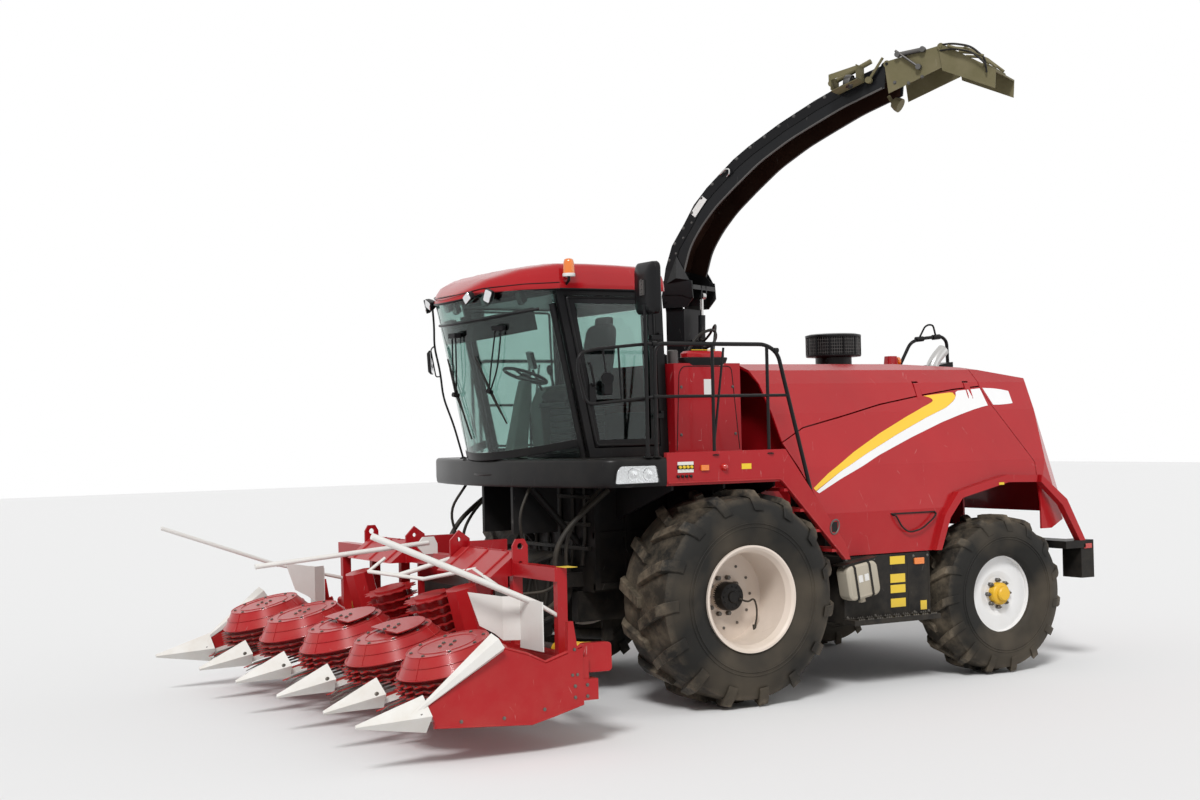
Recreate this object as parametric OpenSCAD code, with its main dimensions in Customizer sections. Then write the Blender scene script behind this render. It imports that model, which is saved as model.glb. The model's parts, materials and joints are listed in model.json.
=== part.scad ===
// Self-propelled forage harvester with a five-drum rotary maize header.
// Millimetres. +X is forward, +Y is the machine's left, Z = 0 is the ground.

/* [Machine] */
// distance from front axle to rear axle
wheelbase = 2920; // [2500:10:3400]
// front axle ahead of the middle of the whole length
front_axle_x = 186.9; // [0:0.1:400]
// middle of the whole width, out to the spout's tip, left of the machine's own middle
middle_y = 101.4; // [0:0.1:400]
// the tyres stand round where real ones flatten, so the body stands this much higher
ride_lift = 20; // [0:1:60]
// half the width of the side skirts
skirt_y = 1600; // [1400:10:1700]
// half the width of the cab
cab_y = 900; // [750:10:1000]
// height of the rear body's roof
hood_z = 2800; // [2500:10:3000]
// thickness of sheet panels
sheet = 20; // [12:1:40]
// gap left round a panel that opens, and over the side panels, whose upper edge swings out
seam = 7; // [5:1:12]
lift_seam = 12; // [8:1:20]

/* [Front wheels] */
// outer radius over the lugs, and the tyre's width
front_od = 886; // [850:1:1000]
front_w = 775; // [600:5:850]
// radius of the rim flange, and how deep the hub sits
front_rim = 434; // [380:1:480]
front_dish = 430; // [200:5:500]
// lateral place of the wheel's middle plane
front_y = 1357; // [1200:1:1500]

/* [Rear wheels] */
rear_od = 718; // [650:1:800]
rear_w = 520; // [400:5:600]
rear_rim = 392; // [340:1:420]
rear_dish = 90; // [50:5:200]
rear_y = 1273; // [1150:1:1400]
// lateral place of the steering pivot
kingpin_y = 1200; // [1000:10:1250]
// from the kingpin back to the tie rod's ends
steer_arm = 190; // [150:5:240]

/* [Header] */
// spacing of the five drums, and the place of their row
drum_pitch = 970; // [900:5:1100]
drum_x = 2790; // [2600:5:3000]
drum_z = 630; // [500:5:800]
// nose-down tilt of the header
header_tilt = 13.9; // [5:0.1:20]
// half the width of the header
header_y = 2415; // [2200:5:2500]

/* [Spout] */
// place of the turntable, and the heading out from straight back
spout_x = -600; // [-800:10:-400]
spout_heading = 60; // [0:1:90]
// width of the chute
spout_w = 460; // [380:5:520]

/* [Hidden] */
$fn = 48;
red = [0.62, 0.03, 0.07];
dark = [0.05, 0.05, 0.06];
white = [0.86, 0.86, 0.83];
cream = [0.85, 0.80, 0.70];
chrome = [0.75, 0.75, 0.77];
rear_x = -wheelbase;
// a tyre stands on the feet of two neighbouring lugs
lug_count = 15;
function stand(od) = od * cos(45 / lug_count) - ride_lift;
front_r = stand(front_od);
rear_r = stand(rear_od);
tooth_r = 440;
feed_x = -605;
feed_y = 410;
// drawbar pin of the rear hitch
hitch_x = -4030;
hitch_pin = 16.5;
// lifting eye in the header's ears
eye = [1970, 1385];
eye_r = 25;
function behind(pts) = [for (p = pts) p + [rear_x, 0]];

// outlines in X and Z of the rear body and its panels
hood_side = [[-545, 2800], [-2300, 2800], [-3000, 2765], [-3760, 2640], [-3990, 2000], [-3990, 1130], [-1190, 1130], [-1030, 1440], [-660, 2110]];
hood_inner = [[-400, 2780], [-2300, 2780], [-3000, 2745], [-3745, 2622], [-3970, 2000], [-3970, 1000], [-400, 1000]];
side_edge = [[-660, 2110], [-910, 2230], [-1350, 2320], [-1810, 2420], [-2340, 2500], [-2740, 2550], [-3050, 2575]];
wheel_arch = behind([[-120, 1700], [110, 1650], [430, 1580], [580, 1410], [690, 1130]]);
side_rear = concat([[-3120, 2400], [-3470, 1870], [-3470, 1715], [-3420, 1752], [-3402, 1752], [-3400, 1690]], wheel_arch, [[-1190, 1130]]);
arch_lip = behind([[690, 1130], [580, 1410], [430, 1580], [110, 1650], [-120, 1700], [-470, 1690], [-480, 1755], [-110, 1768], [140, 1715], [480, 1635], [640, 1440], [755, 1130]]);
rear_fender = behind([[-490, 1690], [-750, 1470], [-960, 1130], [-1030, 1130], [-810, 1520], [-500, 1755]]);
// outline in Y and Z of the rear body, and its leaning plan
hood_section = [[1400, 900], [1400, 1500], [1330, 1900], [1180, 2360], [1060, 2620], [940, 2740], [780, 2800]];
tail_plan = [[1200, 1450], [-2700, 1450], [-3150, 1330], [-3330, 1180], [-3560, 900], [-3720, 500], [-3790, 0]];
tail_lean = 20;

// cab outlines in X and Z
cab_side = [[250, 2030], [290, 3405], [1300, 3405], [1015, 2030]];
cab_inner = [[300, 2070], [340, 3370], [1500, 3370], [1300, 2070]];
cab_window = [[330, 2110], [366, 3360], [1225, 3360], [968, 2110]];
cab_roof_side = [[255, 3405], [262, 3540], [420, 3640], [1280, 3650], [1700, 3560], [1990, 3350], [1900, 3330], [1880, 3405]];
roof_plan = [[200, 930], [1350, 960], [1750, 820], [1930, 480], [1990, 0]];
apron_plan = [[720, 1600], [1200, 1600], [1340, 1480], [1490, 900], [1570, 0]];
cab_lean = 11.9;
glass_r = 947;
glass_x = 620;

// spout outlines in its own plane: reach from the turntable, height
spout_out = [[-157, 3450], [-140, 3700], [-70, 3900], [60, 4090], [160, 4250], [290, 4390], [430, 4510], [560, 4620], [710, 4720], [1010, 4890], [1340, 5050], [1700, 5200], [2000, 5290]];
spout_in = [[1980, 5090], [1610, 4970], [1340, 4850], [1100, 4740], [810, 4570], [570, 4380], [370, 4210], [220, 4040], [110, 3870], [40, 3640], [110, 3560], [130, 3420], [60, 3340], [-160, 3340]];
spout_skin = [[-137, 3450], [-122, 3697], [-54, 3892], [75, 4080], [174, 4240], [303, 4377], [441, 4497], [570, 4605], [720, 4704], [1019, 4873], [1348, 5032], [1706, 5181], [2004, 5271]];
spout_pin = [-150, 3400];
spout_eyes = [[95, 2985], [105, 3450]];
// play of the rod's eyes, where a linkage is opened
spout_play = 9;
lift_play = 5;
flap_pins = [[2012, 5285], [2490, 5368]];

// header: lift axis, cylinder eyes, and the rows of points
lift_axis = [980, 1000];
lift_eyes = [[560, 500], [1150, 570]];
drums = [for (i = [-2:2]) i * drum_pitch];
// side, tip x, tip z, foot x, foot z, foot radius
points = [[header_y - 62, 3700, 310, 3195, 350, 130], [1.5 * drum_pitch, 3580, 280, 3140, 385, 115], [0.5 * drum_pitch, 3580, 280, 3140, 385, 115]];

// white crop rods, each straight piece from end to end, then its radius
rods = [[[3440, 2080, 1560], [2150, 2080, 1000], 24], [[2160, 2080, 1006], [1965, 2080, 890], 16], [[1968, 2080, 910], [1968, 2080, 600], 16],
  [[3710, -2080, 1470], [2630, -2080, 1080], 18], [[2640, -2080, 1086], [1965, -2080, 915], 16], [[1968, -2080, 935], [1968, -2080, 600], 16],
  [[3566, 0, 1238], [2070, 0, 1352], 20], [[2460, 0, 1245], [2612, 0, 1141], 14], [[2612, 10, 1146], [2341, 500, 1098], 16], [[2348, 488, 1096], [2137, 1050, 1200], 16],
  [[2443, 200, 1112], [1990, 330, 1240], 20], [[2160, 1040, 1196], [2300, 1900, 1075], 14]];

// hinge axes: the tail cap's in X and Z, the side panels' in Y and Z and their places along X
tail_hinge = [-3054, 2785];
side_hinge = [1060, 2600];
side_hinge_x = [-2300, -2900];
hinge_pin = 9;

function flip(p) = [for (i = [len(p) - 1:-1:0]) p[i]];
function both(p) = concat(p, [for (q = flip(p)) [q[0], -q[1]]]);

module mirrored() { children(); mirror([0, 1, 0]) children(); }
// an outline in X and Z, pushed through from y0 to y1
module slab(pts, y0, y1) translate([0, y1, 0]) rotate([90, 0, 0]) linear_extrude(y1 - y0) polygon(pts);
// an outline in Y and Z, pushed through from x0 to x1
module cross(pts, x0, x1) translate([x0, 0, 0]) rotate([90, 0, 90]) linear_extrude(x1 - x0) polygon(pts);
// an outline in X and Y, pushed through from z0 to z1
module plan(pts, z0, z1) translate([0, 0, z0]) linear_extrude(z1 - z0) polygon(pts);
module block(x0, x1, y0, y1, z0, z1) translate([x0, y0, z0]) cube([x1 - x0, y1 - y0, z1 - z0]);
module cone(a, b, ra, rb) {
  d = b - a;
  translate(a) rotate([0, acos(d[2] / norm(d)), atan2(d[1], d[0])]) cylinder(h = norm(d), r1 = ra, r2 = rb);
}
// a bent tube, each straight run let into the next
module rail(pts, r) for (i = [0:len(pts) - 2]) {
  u = (pts[i + 1] - pts[i]) / norm(pts[i + 1] - pts[i]);
  cone(pts[i] - (i > 0 ? 0.6 * r : 0) * u, pts[i + 1] + (i < len(pts) - 2 ? 0.6 * r : 0) * u, r, r);
}
module disc(y0, y1, r) translate([0, y1, 0]) rotate([90, 0, 0]) cylinder(h = y1 - y0, r = r);
module spun(pts) rotate([-90, 0, 0]) rotate_extrude() polygon(pts);

// tyres and rims: axis along Y, outer face towards +Y
// half the length of a lug's foot, measured along the tread
function lug_reach(od) = od * sin(135 / lug_count);
// one lug from the tread's middle out over the shoulder; k is half its width
module lug(od, w, h, k) {
  t = (lug_reach(od) - k) / 0.36;
  intersection() {
    translate([0, 0, od - 2.4 * h]) linear_extrude(2.4 * h - od + od * cos(135 / lug_count))
      polygon([[0.36 * t - k, -0.03 * w], [-0.56 * t - 1.2 * k, 0.49 * w],
        [-0.56 * t + 1.2 * k, 0.49 * w], [0.36 * t + k, -0.03 * w]]);
    cross([[-0.1 * w, 0], [-0.1 * w, od], [0.34 * w, od], [0.49 * w, od - 1.6 * h], [0.49 * w, 0]], -t, t);
  }
}
module tyre(od, w, rim, h, k) difference() {
  union() {
    hull() for (p = [[rim, 0.41], [rim + 0.45 * (od - rim), 0.5], [od - 1.2 * h, 0.41]]) disc(-p[1] * w, p[1] * w, p[0], $fn = 30);
    for (i = [0:lug_count - 1]) rotate([0, 360 * i / lug_count, 0]) {
      lug(od, w, h, k);
      rotate([0, 180 / lug_count, 0]) mirror([0, 1, 0]) lug(od, w, h, k);
    }
  }
  hull() disc(-w, w, rim - 30, $fn = 30);
}
module rim(r, outer, dish, hub, studs, cap) {
  b = r - 58;
  d = outer - dish;
  union() {
    spun([[r, -outer - 6], [r, -outer + 16], [r - 28, -outer + 26], [b + 16, -outer + 70], [b + 16, outer - 70], [r - 28, outer - 26], [r, outer - 16], [r, outer + 6], [r - 16, outer + 6], [r - 34, outer - 10], [b, outer - 60], [b, d + 12], [hub + 50, d + 12], [hub, d], [0, d], [0, d - 24], [hub, d - 24], [hub + 50, d - 12], [b, d - 12], [b, -outer + 60], [r - 34, -outer + 10], [r - 16, -outer - 6]]);
    disc(d - 4, d + 60, hub * 0.62);
    disc(d - 4, d + 105, cap);
    for (i = [0:studs - 1]) rotate([0, 360 * i / studs, 0]) translate([hub * 0.81, 0, 0]) disc(d - 4, d + 34, 16, $fn = 6);
  }
}
module front_at(s) translate([0, s * front_y, front_r]) mirror([0, s < 0 ? 1 : 0, 0]) children();
module rear_at(s) translate([rear_x, s * rear_y, rear_r]) mirror([0, s < 0 ? 1 : 0, 0]) children();
module front_tyre(s) color(dark) front_at(s) tyre(front_od, front_w, front_rim, 46, 40);
module front_rim_of(s) color(cream) front_at(s) rim(front_rim, 343, front_dish, 190, 10, 78);
module rear_tyre(s) color(dark) rear_at(s) tyre(rear_od, rear_w, rear_rim, 34, 31);
module rear_rim_of(s) color(white) rear_at(s) rim(rear_rim, 200, rear_dish, 150, 8, 62);
module tyre_front_left() front_tyre(1);
module tyre_front_right() front_tyre(-1);
module rim_front_left() front_rim_of(1);
module rim_front_right() front_rim_of(-1);
module tyre_rear_left() rear_tyre(1);
module tyre_rear_right() rear_tyre(-1);
module rim_rear_left() rear_rim_of(1);
module rim_rear_right() rear_rim_of(-1);

// chassis: rails, axles, cutter housing, duct, side boxes, rear bumper
module chassis_frame() color(dark) union() {
  mirrored() block(-3850, 900, 330, 430, 640, 900);
  for (x = [-3700, -2400, -1100, -300]) block(x, x + 120, -430, 430, 660, 860);
  translate([0, 0, front_r]) { disc(-1245.7, 1245.7, 140); mirrored() disc(930, 1236, 240); }
  block(-260, 850, -620, 620, 900, 1800);
  translate([lift_axis[0], 0, lift_axis[1]]) disc(-452, 452, 36);
  mirrored() {
    block(840, 1025, 425, 452, 940, 1060);
    block(510, 610, 314, 346, 450, 900);
    translate([lift_eyes[0][0], 0, lift_eyes[0][1]]) disc(215, 348, 22);
  }
  translate([spout_x + 35, -60, 1000]) cylinder(h = 1850, r = 255);
  block(-900, -260, -430, 430, 860, 1100);
  // rear axle with its yokes
  translate([rear_x, 0, rear_r]) {
    block(-110, 110, -1000, 1000, -90, 60);
    block(-110, 110, -430, 430, 0, 202.5);
    mirrored() { block(-70, 70, 960, 1040, -170, 170); for (z = [-170, 110]) block(-70, 70, 960, 1262, z, z + 60); }
  }
  // bumper with lamp carriers and fender feet
  block(-3950, -3700, -1480, 1480, 1060, 1130);
  block(-3850, -3700, -900, 900, 640, 1100);
  mirrored() block(-4060, -3900, 1230, 1470, 780, 1130);
  // jaw of the rear hitch
  difference() {
    for (z = [700, 805]) block(hitch_x - 55, -3840, -80, 80, z, z + 25);
    translate([hitch_x, 0, 690]) cylinder(h = 150, r = hitch_pin);
  }
  // side boxes with steps
  mirrored() {
    block(rear_x + 795, -1170, 900, 1400, 550, 1120);
    block(rear_x + 795, -1170, 420, 960, 700, 840);
    difference() {
      block(rear_x + 810, -1160, 1380, 1550, 545, 590);
      for (i = [0:8]) block(rear_x + 840 + 100 * i, rear_x + 910 + 100 * i, 1425, 1535, 540, 600);
    }
  }
}
module engine_block() color([0.30, 0.30, 0.31]) block(-2900, -1650, -520, 520, 900, 1950);

module platform() color(red) union() {
  mirrored() {
    slab([[720, 1815], [720, 2065], [-440, 2065], [-1040, 1260], [-1090, 1120], [-1030, 1120], [-380, 1815]], skirt_y - 40, skirt_y);
    slab([[-380, 1815], [-380, 1950], [-470, 1950], [-1040, 1260], [-1090, 1120], [-1030, 1120]], 1130, 1165);
    for (i = [0:3]) block(-1075 + 160 * i, -905 + 160 * i, 1130, skirt_y - 10, 1190 + 175 * i, 1215 + 175 * i);
  }
  difference() {
    union() {
      block(-470, 720, -skirt_y + 10, skirt_y - 10, 1800, 1860);
      block(-420, 250, -1000, 1000, 1850, hood_z);
    }
    block(-400, 230, -980, 980, 1860, hood_z - sheet);
    translate([spout_x + 35, -60, 1700]) cylinder(h = 1300, r = 275);
  }
}
module lamps() color([0.9, 0.9, 0.85]) {
  mirrored() {
    block(800, 1200, skirt_y, skirt_y + 15, 1830, 1970);
    block(-4090, -4060, 1250, 1450, 800, 1110);
    for (q = [[1820, 380], [1745, 600]]) block(q[0], q[0] + 52, q[1] - 60, q[1] + 60, 3325, 3405);
  }
  translate([1240, 1009.6, 3500]) cylinder(h = 150, r = 52);
}
module cab_glass() color([0.55, 0.75, 0.72, 0.35]) {
  intersection() {
    translate([glass_x, 0, 2050]) rotate([0, cab_lean, 0]) difference() { translate([0, 0, -300]) cylinder(h = 1900, r = glass_r); translate([0, 0, -301]) cylinder(h = 1902, r = glass_r - 8); }
    slab([[1022, 2080], [1302, 3405], [2300, 3405], [2300, 2080]], -850, 850);
  }
  slab(cab_window, -884, -876);
  block(272, 280, -620, 620, 2400, 3280);
}
module cab_shell() color(dark) union() {
  difference() {
    slab(cab_side, -cab_y, cab_y);
    slab(cab_inner, -cab_y + 50, cab_y - 50);
    slab(cab_window, -1000, 1000);
    block(200, 400, -620, 620, 2400, 3280);
  }
  plan(both(apron_plan), 1980, 2030);
  difference() {
    plan(both(apron_plan), 1800, 2030);
    plan(both([[600, 1570], [1190, 1570], [1305, 1470], [1455, 890], [1530, 0]]), 1700, 1980);
  }
  block(250, 730, -900, 900, 1860, 2030);
  for (z = [2345, 3000]) {
    block(315, 345, 895, 937, z + 39, z + 60);
    translate([330, 925, z - 5]) cylinder(h = 50, r = 8);
  }
  intersection() {
    translate([glass_x, 0, 2050]) rotate([0, cab_lean, 0]) difference() { translate([0, 0, -300]) cylinder(h = 700, r = glass_r + 8); translate([0, 0, -301]) cylinder(h = 702, r = glass_r - 30); }
    slab([[1000, 2020], [1010, 2080], [2300, 2080], [2300, 2020]], -870, 870);
  }
}
module cab_roof() color(red) intersection() {
  slab(cab_roof_side, -1000, 1000);
  plan(both(roof_plan), 3200, 3800);
}
module cab_seat() color([0.12, 0.12, 0.13]) {
  translate([620, 0, 0]) {
    block(-180, 180, -200, 200, 2070, 2480);
    block(-230, 260, -250, 250, 2480, 2610);
    slab([[-230, 2560], [-330, 3200], [-230, 3220], [-120, 2600]], -240, 240);
  }
  rail([[1240, 0, 2050], [1130, 0, 2720]], 40);
  block(1190, 1300, -80, 80, 2030, 2060);
  translate([1125, 0, 2730]) rotate([0, -20, 0]) { rotate_extrude() translate([190, 0]) circle(r = 16, $fn = 16); translate([0, 0, -24]) cylinder(h = 40, r = 50); block(-185, 185, -16, 16, -7, 7); }
  block(350, 800, -560, -330, 2070, 2680);
}
// rear body: one thin shell, cut along its seams
module tail_prism(i) translate([0, 0, 2600]) rotate([0, tail_lean, 0]) translate([i, 0, -2500]) linear_extrude(4000) polygon(both(tail_plan));
module hood_solid(i) intersection() {
  slab(i > 0 ? hood_inner : hood_side, -1500, 1500);
  cross([for (p = both([for (q = hood_section) [q[1], q[0]]])) [p[1], p[0]] - [p[1] > 0 ? i : -i, p[0] > 2700 ? i : 0]], -4500, -300);
  tail_prism(i);
}
module hood_shell() difference() { hood_solid(0); hood_solid(sheet); }
module side_cut(g, over) slab(concat([for (p = side_edge) p + [0, over]], [for (p = side_rear) p - [g, 0]],
  [[-1100, 1000], [-400, 1000], [-400, 2110 + over]]), 100, 1600);
module tail_cut(g) slab([[-3050 - g, 3000], [-3050 - g, 2575], [-3120 - g, 2400], [-3470 - g, 1870], [-3470 - g, 1250 + g], [-4600, 1250 + g], [-4600, 3000]], -1600, 1600);
module hood_top() color(red) union() {
  difference() {
    hood_shell();
    slab(concat([for (p = side_edge) p + [0, lift_seam]], [[-3060, 900], [-300, 900], [-300, 2110 + lift_seam]]), -1600, 1600);
    mirrored() side_cut(seam, lift_seam);
    tail_cut(0);
    block(-4600, -3000, -1500, 1500, 900, 1790);
    translate([spout_x + 35, -60, 1000]) cylinder(h = 2000, r = 275);
    mirrored() for (x = side_hinge_x) block(x - 36, x + 36, 1030, 1180, 2400, 2632);
  }
  mirrored() {
    for (x = side_hinge_x) translate([x, side_hinge[0], side_hinge[1]]) rotate([0, 90, 0]) cylinder(h = 88, r = hinge_pin, center = true);
    translate([tail_hinge[0], 0, tail_hinge[1]]) {
      disc(280, 400, hinge_pin);
      for (y = [270, 380.5]) { disc(y, y + 29.2, 18); block(0, 60, y, y + 29.2, -45, 18); }
    }
  }
  intersection() { block(-920, -900, -1000, 1000, 900, 2900); hood_solid(10); }
  intersection() { block(-3000, -2980, -900, 900, 1300, 2900); hood_solid(10); }
  mirrored() {
    block(-3000, -2960, 330, 430, 900, 1500);
    slab(rear_fender, 1406, 1480);
  }
}
module side_panel() color(red) union() {
  intersection() { hood_shell(); side_cut(0, 0); }
  slab(arch_lip, 1385, 1450);
  // goose-neck hinge arms
  for (x = side_hinge_x) difference() {
    union() {
      translate([x, side_hinge[0], side_hinge[1]]) rotate([0, 90, 0]) cylinder(h = 60, r = 17, center = true);
      cross([[1048, 2590], [1064, 2616], [1076, 2604], [1131, 2470], [1107, 2470]], x - 30, x + 30);
    }
    translate([x, side_hinge[0], side_hinge[1]]) rotate([0, 90, 0]) cylinder(h = 90, r = hinge_pin + 0.3, center = true);
  }
}
module side_left() side_panel();
module side_right() mirror([0, 1, 0]) side_panel();
module tail_cap() color(red) union() {
  intersection() { hood_shell(); tail_cut(seam); }
  mirrored() translate([tail_hinge[0], 0, tail_hinge[1]]) difference() {
    union() { disc(300, 380, 18); block(-60, -6, 300, 380, -42, 8); }
    disc(250, 450, hinge_pin + 0.3);
  }
}

module handrails() color(dark) union() {
  mirrored() {
    rail([[800, 1578, 2030], [800, 1578, 2930], [-280, 1578, 2930], [-400, 1578, 2860], [-705, 1578, 1720]], 17);
    rail([[800, 1578, 2510], [-495, 1578, 2510]], 14);
    for (x = [250, -290]) rail([[x, 1578, 2065], [x, 1578, 2930]], 14);
    rail([[880, 1575, 2030], [880, 1575, 3560]], 17);
    block(800, 900, 1425, 1725, 3160, 3580);
  }
}
module air_intake() color(dark) union() {
  translate([-2050, 200, 2800]) { cylinder(h = 90, r = 170); translate([0, 0, 80]) cylinder(h = 230, r = 262); }
}
module exhaust() color(chrome) union() {
  translate([-2900, 620, 2755]) cylinder(h = 120, r = 75);
  rail([[-2900, 620, 2870], [-3060, 620, 2910]], 75);
}
module door_frame() color(dark) difference() {
  union() {
    slab([[340, 2118], [375, 3352], [1214, 3352], [960, 2118]], cab_y - 38, cab_y + 5);
    for (z = [2345, 3000]) block(317, 420, cab_y + 4, 938, z, z + 38.7);
  }
  slab([[395, 2175], [430, 3295], [1135, 3295], [922, 2175]], cab_y - 100, cab_y + 4);
  slab([[425, 2175], [430, 3295], [1135, 3295], [922, 2175]], cab_y - 100, cab_y + 100);
  translate([330, 925, 2000]) cylinder(h = 1400, r = 8.3);
}
module door_glass() color([0.55, 0.75, 0.72, 0.35]) slab([[395, 2175], [430, 3295], [1135, 3295], [922, 2175]], cab_y - 20, cab_y - 12);

// steering
module knuckle(s) color(dark) translate([rear_x, s * kingpin_y, rear_r]) mirror([0, s < 0 ? 1 : 0, 0]) union() {
  translate([0, 0, -102]) cylinder(h = 204, r = 56);
  translate([0, 0, -109.7]) cylinder(h = 219.4, r = 35);
  disc(0, 158.7, 62);
  block(-steer_arm - 30, 0, -30, 30, -102, -70);
}
module knuckle_left() knuckle(1);
module knuckle_right() knuckle(-1);
module tie_rod() color(chrome) translate([rear_x - steer_arm, 0, rear_r - 125]) union() {
  disc(-kingpin_y, kingpin_y, 19);
  mirrored() translate([0, kingpin_y, -24]) cylinder(h = 46.7, r = 28);
}

// spout: everything is drawn along +X in its own plane, then turned
module spout_frame() translate([spout_x, 0, 0]) rotate([0, 0, 180 - spout_heading]) children();
module spout_turntable() color(dark) spout_frame() union() {
  difference() {
    union() { translate([-70, 0, 2850.3]) cylinder(h = 66, r = 300); block(-160, 20, -200, 200, 2900, 3330); }
    block(-144, 4, -184, 184, 2840, 3400);
  }
  mirrored() {
    slab([[4, 2930], [120, 2950], [120, 3020], [4, 3060]], 40, 60);
    slab([[-160, 3300], [-125, 3300], [-125, 3425], [-175, 3425]], 184, 200);
    translate([spout_pin[0], 0, spout_pin[1]]) disc(184, 240, 12);
  }
  translate([spout_eyes[0][0], 0, spout_eyes[0][1]]) disc(-60, 60, 12);
}
module spout_chute() color(dark) spout_frame() difference() {
  union() {
    mirrored() {
      slab(concat([for (p = spout_out) if (p[1] > 3450) p], spout_in, [[-175, 3340], [-185, 3450]]), spout_w / 2 - 16, spout_w / 2);
      slab([[75, 3480], [85, 3430], [125, 3430], [135, 3540], [80, 3540]], 38, 54);
      translate([flap_pins[0][0], 0, flap_pins[0][1]]) disc(spout_w / 2 - 6, spout_w / 2 + 22, 12);
      translate([flap_pins[0][0] - 24, 0, flap_pins[0][1] - 14]) disc(spout_w / 2 - 16, spout_w / 2, 34);
    }
    slab(concat(spout_out, flip(spout_skin)), -spout_w / 2 + 10, spout_w / 2 - 10);
    slab([[80, 3500], [130, 3500], [130, 3540], [80, 3540]], -spout_w / 2 + 10, spout_w / 2 - 10);
    translate([spout_eyes[1][0], 0, spout_eyes[1][1]]) disc(-54, 54, 14);
  }
  mirrored() translate([spout_pin[0], 0, spout_pin[1]]) disc(205, 260, 12.3);
}
module along_cylinder() spout_frame() translate([spout_eyes[0][0], 0, spout_eyes[0][1]]) rotate([0, atan2(spout_eyes[1][0] - spout_eyes[0][0], spout_eyes[1][1] - spout_eyes[0][1]), 0]) children();
module spout_barrel() color(dark) along_cylinder() difference() {
  union() { disc(-34, 34, 26); cylinder(h = 290, r = 32); }
  translate([0, 0, 40]) cylinder(h = 300, r = 19);
  disc(-40, 40, 12.3);
}
module spout_rod() color(chrome) along_cylinder() difference() {
  union() {
    translate([0, 0, 190]) cylinder(h = 40, r = 18.7);
    translate([0, 0, 200]) cylinder(h = norm(spout_eyes[1] - spout_eyes[0]) - 220, r = 15);
    translate([0, 0, norm(spout_eyes[1] - spout_eyes[0])]) disc(-30, 30, 24 + spout_play);
  }
  translate([0, 0, norm(spout_eyes[1] - spout_eyes[0])]) disc(-34, 34, 14 + spout_play);
}
// a flap from pin p to its far end q: cheeks outside the piece before it
module flap(p, q, low, y) difference() {
  union() {
    mirrored() {
      slab([p - [18, 18], p + [6, 22], q + [0, 0], [q[0] - 10, q[1] - low * 0.75], [p[0] + 10, p[1] - low]], y - 10, y);
      translate([p[0], 0, p[1]]) disc(y - 10, y, 30);
    }
    slab([p + [40, 4], q, q - [0, 14], p + [40, -10]], -y + 4, y - 4);
  }
  mirrored() translate([p[0], 0, p[1]]) disc(y - 20, y + 10, 12.3);
}
module spout_flap_mid() color([0.36, 0.36, 0.28]) spout_frame() union() {
  flap(flap_pins[0], [2500, 5385], 250, spout_w / 2 + 16);
  mirrored() translate([flap_pins[1][0], 0, flap_pins[1][1]]) disc(spout_w / 2 + 8, spout_w / 2 + 38, 12);
}
module spout_flap_tip() color([0.36, 0.36, 0.28]) spout_frame() flap(flap_pins[1], [2950, 5120], 200, spout_w / 2 + 32);

// header: everything in module header_tilted() lies in the plane of the drums
module header_tilted() translate([drum_x, 0, drum_z]) rotate([0, header_tilt, 0]) children();
module feeder_housing() color(dark) union() {
  difference() {
    slab([[1930, 330], [1930, 1000], [1060, 1240], [960, 1150], [930, 1050], [930, 900], [960, 820], [1120, 640]], -400, 400);
    translate([lift_axis[0], 0, lift_axis[1]]) disc(-410, 410, 36.3);
  }
  mirrored() {
    slab([[1090, 560], [1110, 530], [1190, 530], [1250, 700], [1100, 700]], 302, 330);
    translate([lift_eyes[1][0], 0, lift_eyes[1][1]]) disc(215, 330, 20);
  }
}
module header_frame() color(red) union() {
  mirrored() {
    slab([[3150, 250], [2400, 200], [2220, 240], [1980, 300], [1980, 710], [2280, 620], [2430, 690], [2600, 745], [3200, 400], [3150, 300]], header_y - 30, header_y);
    // foot box and post behind the side wall
    block(1860, 2120, header_y - 130, header_y, 330, 480);
    slab([[1985, 470], [2110, 470], [2095, 900], [2055, 900]], header_y - 42, header_y - 2);
    block(1600, 1940, 480, 520, 700, 1380);
    for (y = [700, 1350, 2050]) block(1930, 2010, y, y + 60, 440, 1240);
    // sloping roof over the feed drums, and the ears on it
    slab([[1930, 1160], [1930, 1330], [1985, 1335], [2215, 1160]], 470, 1430);
    difference() {
      slab([[1905, 1170], [2035, 1170], [2035, 1390], [2005, 1440], [1935, 1440], [1905, 1390]], 1440, 1460);
      translate([eye[0], 0, eye[1]]) disc(1400, 1500, eye_r);
      translate([eye[0], 0, eye[1] - 130]) disc(1400, 1500, eye_r - 8);
    }
    difference() {
      slab([[1905, 1160], [2080, 1160], [2080, 1390], [2000, 1470], [1905, 1400]], 430, 450);
      translate([eye[0] + 30, 0, eye[1] + 10]) disc(400, 500, eye_r - 8);
    }
    block(1930, 2030, 420, 1480, 1160, 1200);
  }
  block(1930, 2010, -header_y + 10, header_y - 10, 440, 640);
  block(1930, 2030, -2110, 2110, 1160, 1260);
  header_tilted() {
    block(-820, 150, -header_y + 20, header_y - 20, -240, -205);
    mirrored() translate([feed_x, 1030, -206]) cylinder(h = 500, r = 125, $fn = 8);
  }
}
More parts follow.
